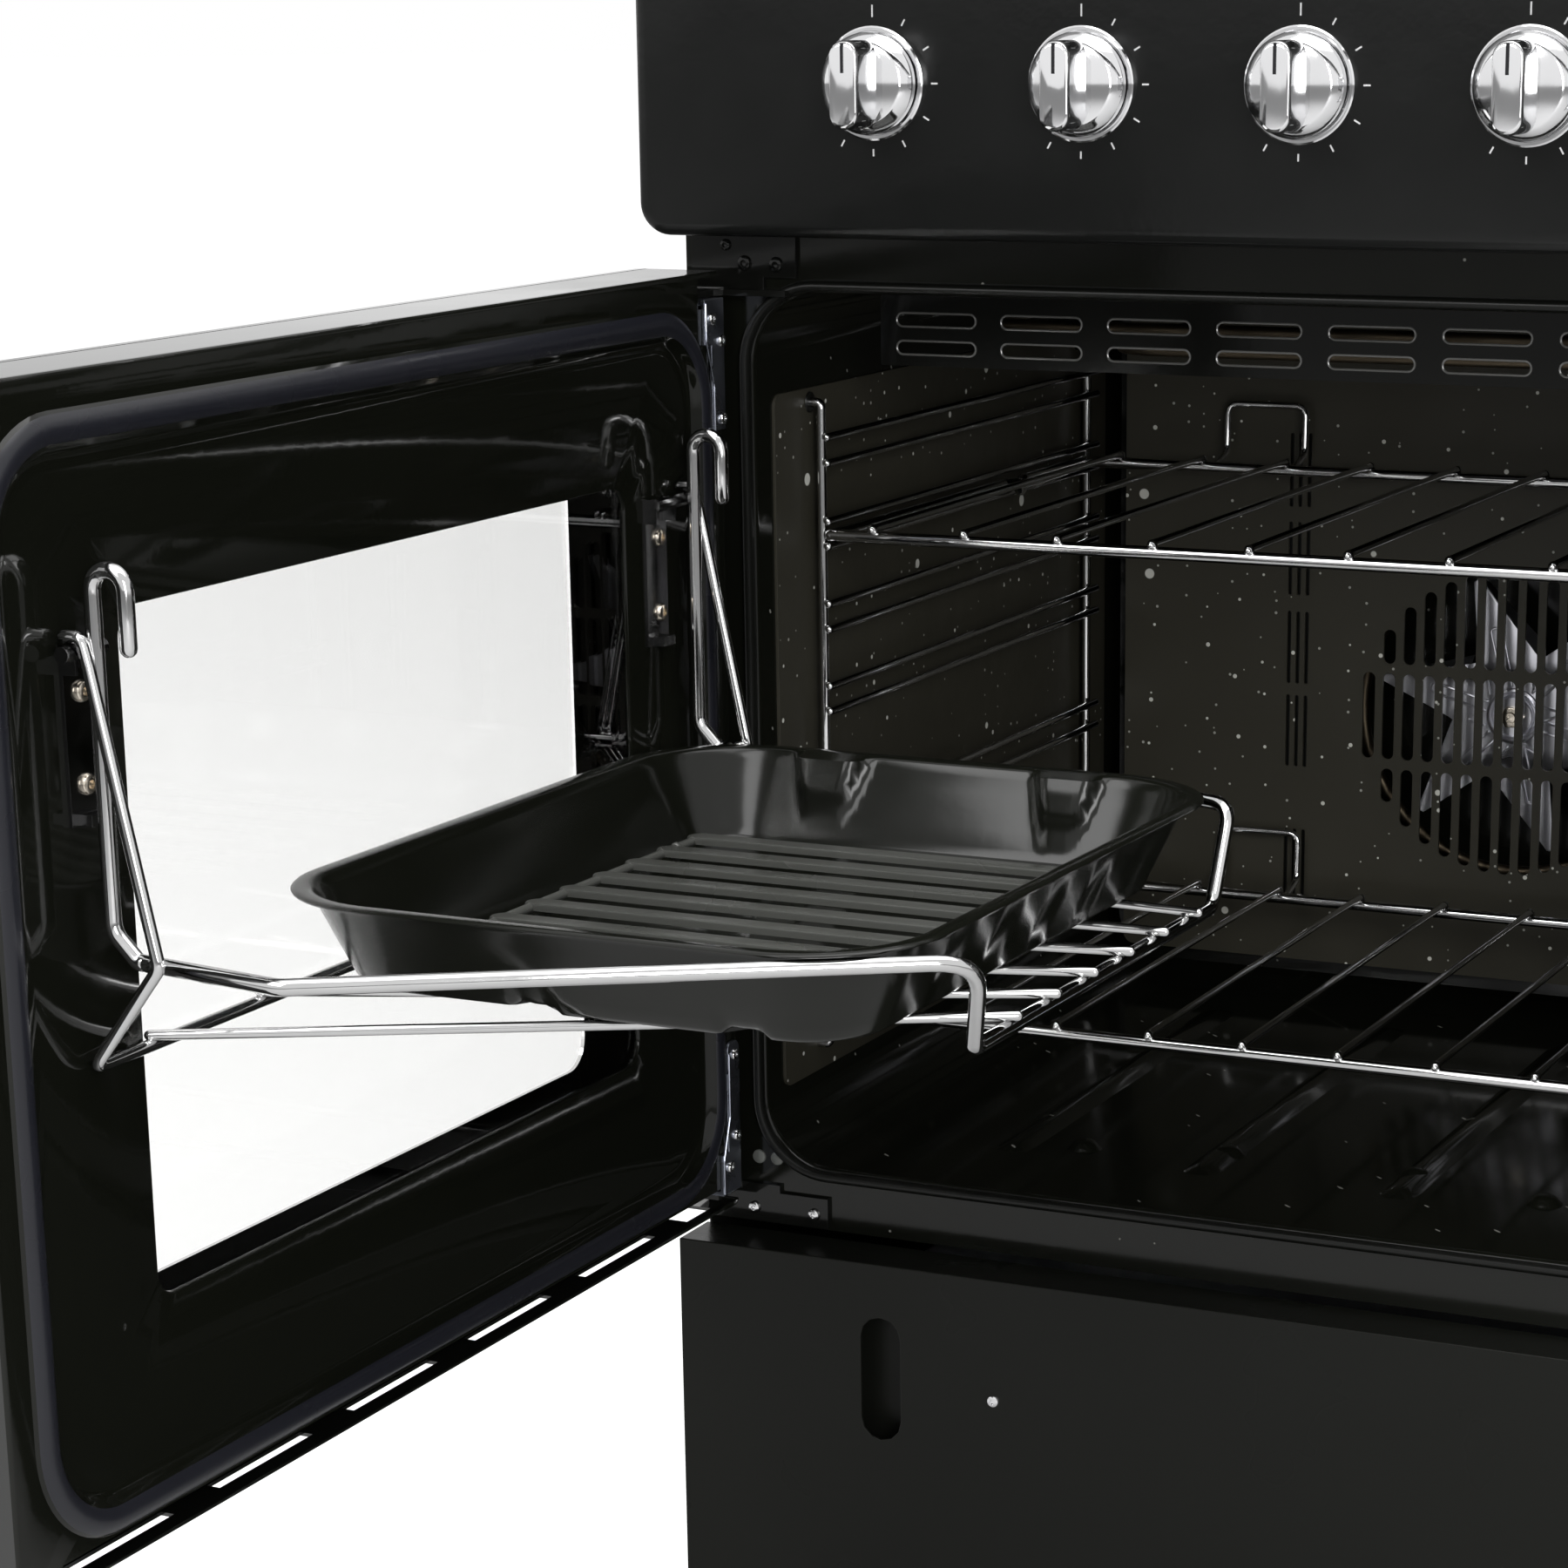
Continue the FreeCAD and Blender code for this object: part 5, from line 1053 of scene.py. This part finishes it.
def make_tin():
    pan = Piece()
    s0, s1, o0, o1 = 46.0, 392.0, 16.0, 283.0
    rim, floor = -190.0, -229.05
    sides = 70
    flutes = [(0.30, 19), (0.72, 17)]

    def shaped(by, z, wall=True):
        shape = outline(s0 + by, s1 - by, o0 + by, o1 - by, max(54 - by, 4), 12, sides)
        rise = (z - floor) / (rim - floor)
        points = []
        for u, v in shape:
            du = dv = dz = 0.0
            if wall and rise < 0.985:
                if u < s0 + 45:
                    for at, width in flutes:
                        depth = 7.5 * smooth((rise - 0.22) / 0.6)
                        t = abs((v - o0) / (o1 - o0) - at) * (o1 - o0) / (width * (0.25 + 0.75 * rise))
                        du += depth * smooth(2.2 - 2 * t)
                if v > o1 - 45:
                    for at in (120, 165, 210, 255, 300):
                        t = abs(u - at) / (6 + 3 * rise)
                        dv -= 1.1 * smooth(1.4 - t) * math.sin(math.pi * max(0, min(1, rise * 1.1)))
            if wall and u > s1 - 60:
                for at in (130, 216):
                    dz += 3.2 * smooth(2.0 - 2 * abs(v - at) / 11) * smooth(1 - rise * 4)
                dz += 1.6 * smooth((130 - v) / 10) * smooth(1 - rise * 5)
            points.append(on_left(u + du, v + dv, z + dz))
        return points
    inside = [(28.5, 1.2), (26.2, 1.7), (24.6, 3.6), (23.2, 7), (19.8, 14), (16.4, 21), (13, 28), (10, 34)]
    lip = [(7.4, -190.4), (5.6, -190.0), (2.6, -190.0), (0.8, -190.2), (0.0, -190.9), (0.3, -191.6),
           (1.4, -191.95), (6.0, -191.95)]
    outside = [(8.8, 34), (11.8, 28), (15.2, 21), (18.6, 14), (22, 7), (24, 2.4), (26, 0.5), (28.5, 0)]
    pan.loft([shaped(i, floor + z) for i, z in inside] + [shaped(8.6, -191.6)]
             + [shaped(i, z, False) for i, z in lip] + [shaped(7.4, -193)]
             + [shaped(i, floor + z) for i, z in outside])
    pan.make("roasting_tin_pressed", "roasting_tin", [tin], "tin_enamel", ["roasting_tin"], angle=60)

    grid = Piece()
    low = floor + 1.5
    z0, z1 = low + 5, low + 8
    g0, g1, p0, p1 = s0 + 56, s1 - 36, o0 + 36, o1 - 36
    count, width = 9, 9.5
    for i in range(count + 1):
        s = g0 + i * (g1 - g0 - width) / count
        grid.prism(outline(s, s + width, p0, p1, 4.7, 8), on_left, z0, z1, 1.2)
    for p in (p0 + 4, p1 - 4):
        grid.tube([on_left(g0 + 3, p, z0 + 1), on_left(g1 - 3, p, z0 + 1)], 2.0, 10)
    for s in (g0 + 23, g1 - 23):
        for p in (p0 + 4, p1 - 4):
            grid.tube([on_left(s, p, z0 + 1), on_left(s, p, low + 2.6)], 2.6, 12)
    grid.make("tin_grid_slats", "tin_grid", [slat], "tin_enamel", ["tin_grid"])


def smooth(t):
    t = max(0.0, min(1.0, t))
    return t * t * (3 - 2 * t)


make_tin()

# -------- drawer details
trim = Piece()
for x in (-388, 388):
    screw(trim, fronted(x, DRAWER_FRONT, 213, -1), 3.0, 1.6)
trim.make("drawer_screws", "drawer", [bright], "zinc_plate")


# -------- floor, light and camera

def make_floor():
    bpy.ops.mesh.primitive_circle_add(vertices=96, radius=40, fill_type="NGON", location=(0, 0, -0.0005))
    floor = bpy.context.object
    floor.name = "floor"
    m = bpy.data.materials.new("floor")
    m.use_nodes = True
    tree = m.node_tree
    tree.nodes.clear()
    out = tree.nodes.new("ShaderNodeOutputMaterial")
    diffuse = tree.nodes.new("ShaderNodeBsdfDiffuse")
    diffuse.inputs["Color"].default_value = (0.62, 0.62, 0.62, 1)
    glow = tree.nodes.new("ShaderNodeEmission")
    add = tree.nodes.new("ShaderNodeAddShader")
    path = tree.nodes.new("ShaderNodeLightPath").outputs
    seen = math_node(tree, "MAXIMUM", path["Is Camera Ray"], path["Is Transmission Ray"])
    tree.links.new(math_node(tree, "MULTIPLY", seen, 0.8), glow.inputs["Strength"])
    tree.links.new(diffuse.outputs[0], add.inputs[0])
    tree.links.new(glow.outputs[0], add.inputs[1])
    tree.links.new(add.outputs[0], out.inputs["Surface"])
    floor.data.materials.append(m)


def make_world():
    world = bpy.data.worlds.new("studio")
    bpy.context.scene.world = world
    world.use_nodes = True
    tree = world.node_tree
    background = tree.nodes["Background"]
    background.inputs["Color"].default_value = (1, 1, 1, 1)
    path = tree.nodes.new("ShaderNodeLightPath").outputs
    seen = math_node(tree, "MAXIMUM", path["Is Camera Ray"], path["Is Glossy Ray"])
    seen = math_node(tree, "MAXIMUM", seen, path["Is Transmission Ray"])
    strength = tree.nodes.new("ShaderNodeMapRange")
    strength.inputs["To Min"].default_value = 0.45
    strength.inputs["To Max"].default_value = 1.0
    tree.links.new(seen, strength.inputs["Value"])
    tree.links.new(strength.outputs["Result"], background.inputs["Strength"])


def lamp(name, place, target, size, power):
    data = bpy.data.lights.new(name, "AREA")
    data.shape = "RECTANGLE"
    data.size, data.size_y = size
    data.energy = power
    made = bpy.data.objects.new(name, data)
    bpy.context.scene.collection.objects.link(made)
    made.location = place
    made.rotation_mode = "QUATERNION"
    made.rotation_quaternion = (Vector(target) - Vector(place)).to_track_quat("-Z", "Y")


make_floor()
make_world()
lamp("key", (-1.2, -2.6, 2.6), (-0.2, -0.3, 0.6), (2.4, 1.8), 70)
lamp("front", (1.6, -2.9, 1.3), (-0.2, 0.0, 0.5), (0.9, 1.6), 45)
lamp("top", (0.3, -0.4, 3.2), (0, -0.2, 0.5), (3.0, 2.0), 50)

AZIMUTH, ELEVATION, ROLL = (math.radians(a) for a in (25.16, 15.90, -0.56))
STAND = (0.3107, -1.8979, 0.8518)
PHOTO_SIDE, FOCAL, CENTRE = 1800, 4597.03, (1028.09, 1264.05)      # in pixels of the photograph
SENSOR = 36


def make_camera():
    camera = bpy.data.cameras.new("camera")
    view = bpy.data.objects.new("camera", camera)
    bpy.context.scene.collection.objects.link(view)
    forward = Vector((-math.sin(AZIMUTH) * math.cos(ELEVATION), math.cos(AZIMUTH) * math.cos(ELEVATION),
                      -math.sin(ELEVATION)))
    level = Vector((math.cos(AZIMUTH), math.sin(AZIMUTH), 0))
    upward = level.cross(forward)
    across = level * math.cos(ROLL) + upward * math.sin(ROLL)
    upright = upward * math.cos(ROLL) - level * math.sin(ROLL)
    rows = [(across[i], upright[i], -forward[i], STAND[i]) for i in range(3)]
    view.matrix_world = Matrix((*rows, (0, 0, 0, 1)))
    camera.sensor_width = SENSOR
    camera.lens = FOCAL / PHOTO_SIDE * SENSOR
    camera.shift_x = (PHOTO_SIDE / 2 - CENTRE[0]) / PHOTO_SIDE
    camera.shift_y = (CENTRE[1] - PHOTO_SIDE / 2) / PHOTO_SIDE
    camera.clip_start, camera.clip_end = 0.05, 100
    bpy.context.scene.camera = view


make_camera()
bpy.context.scene.view_settings.view_transform = "Standard"
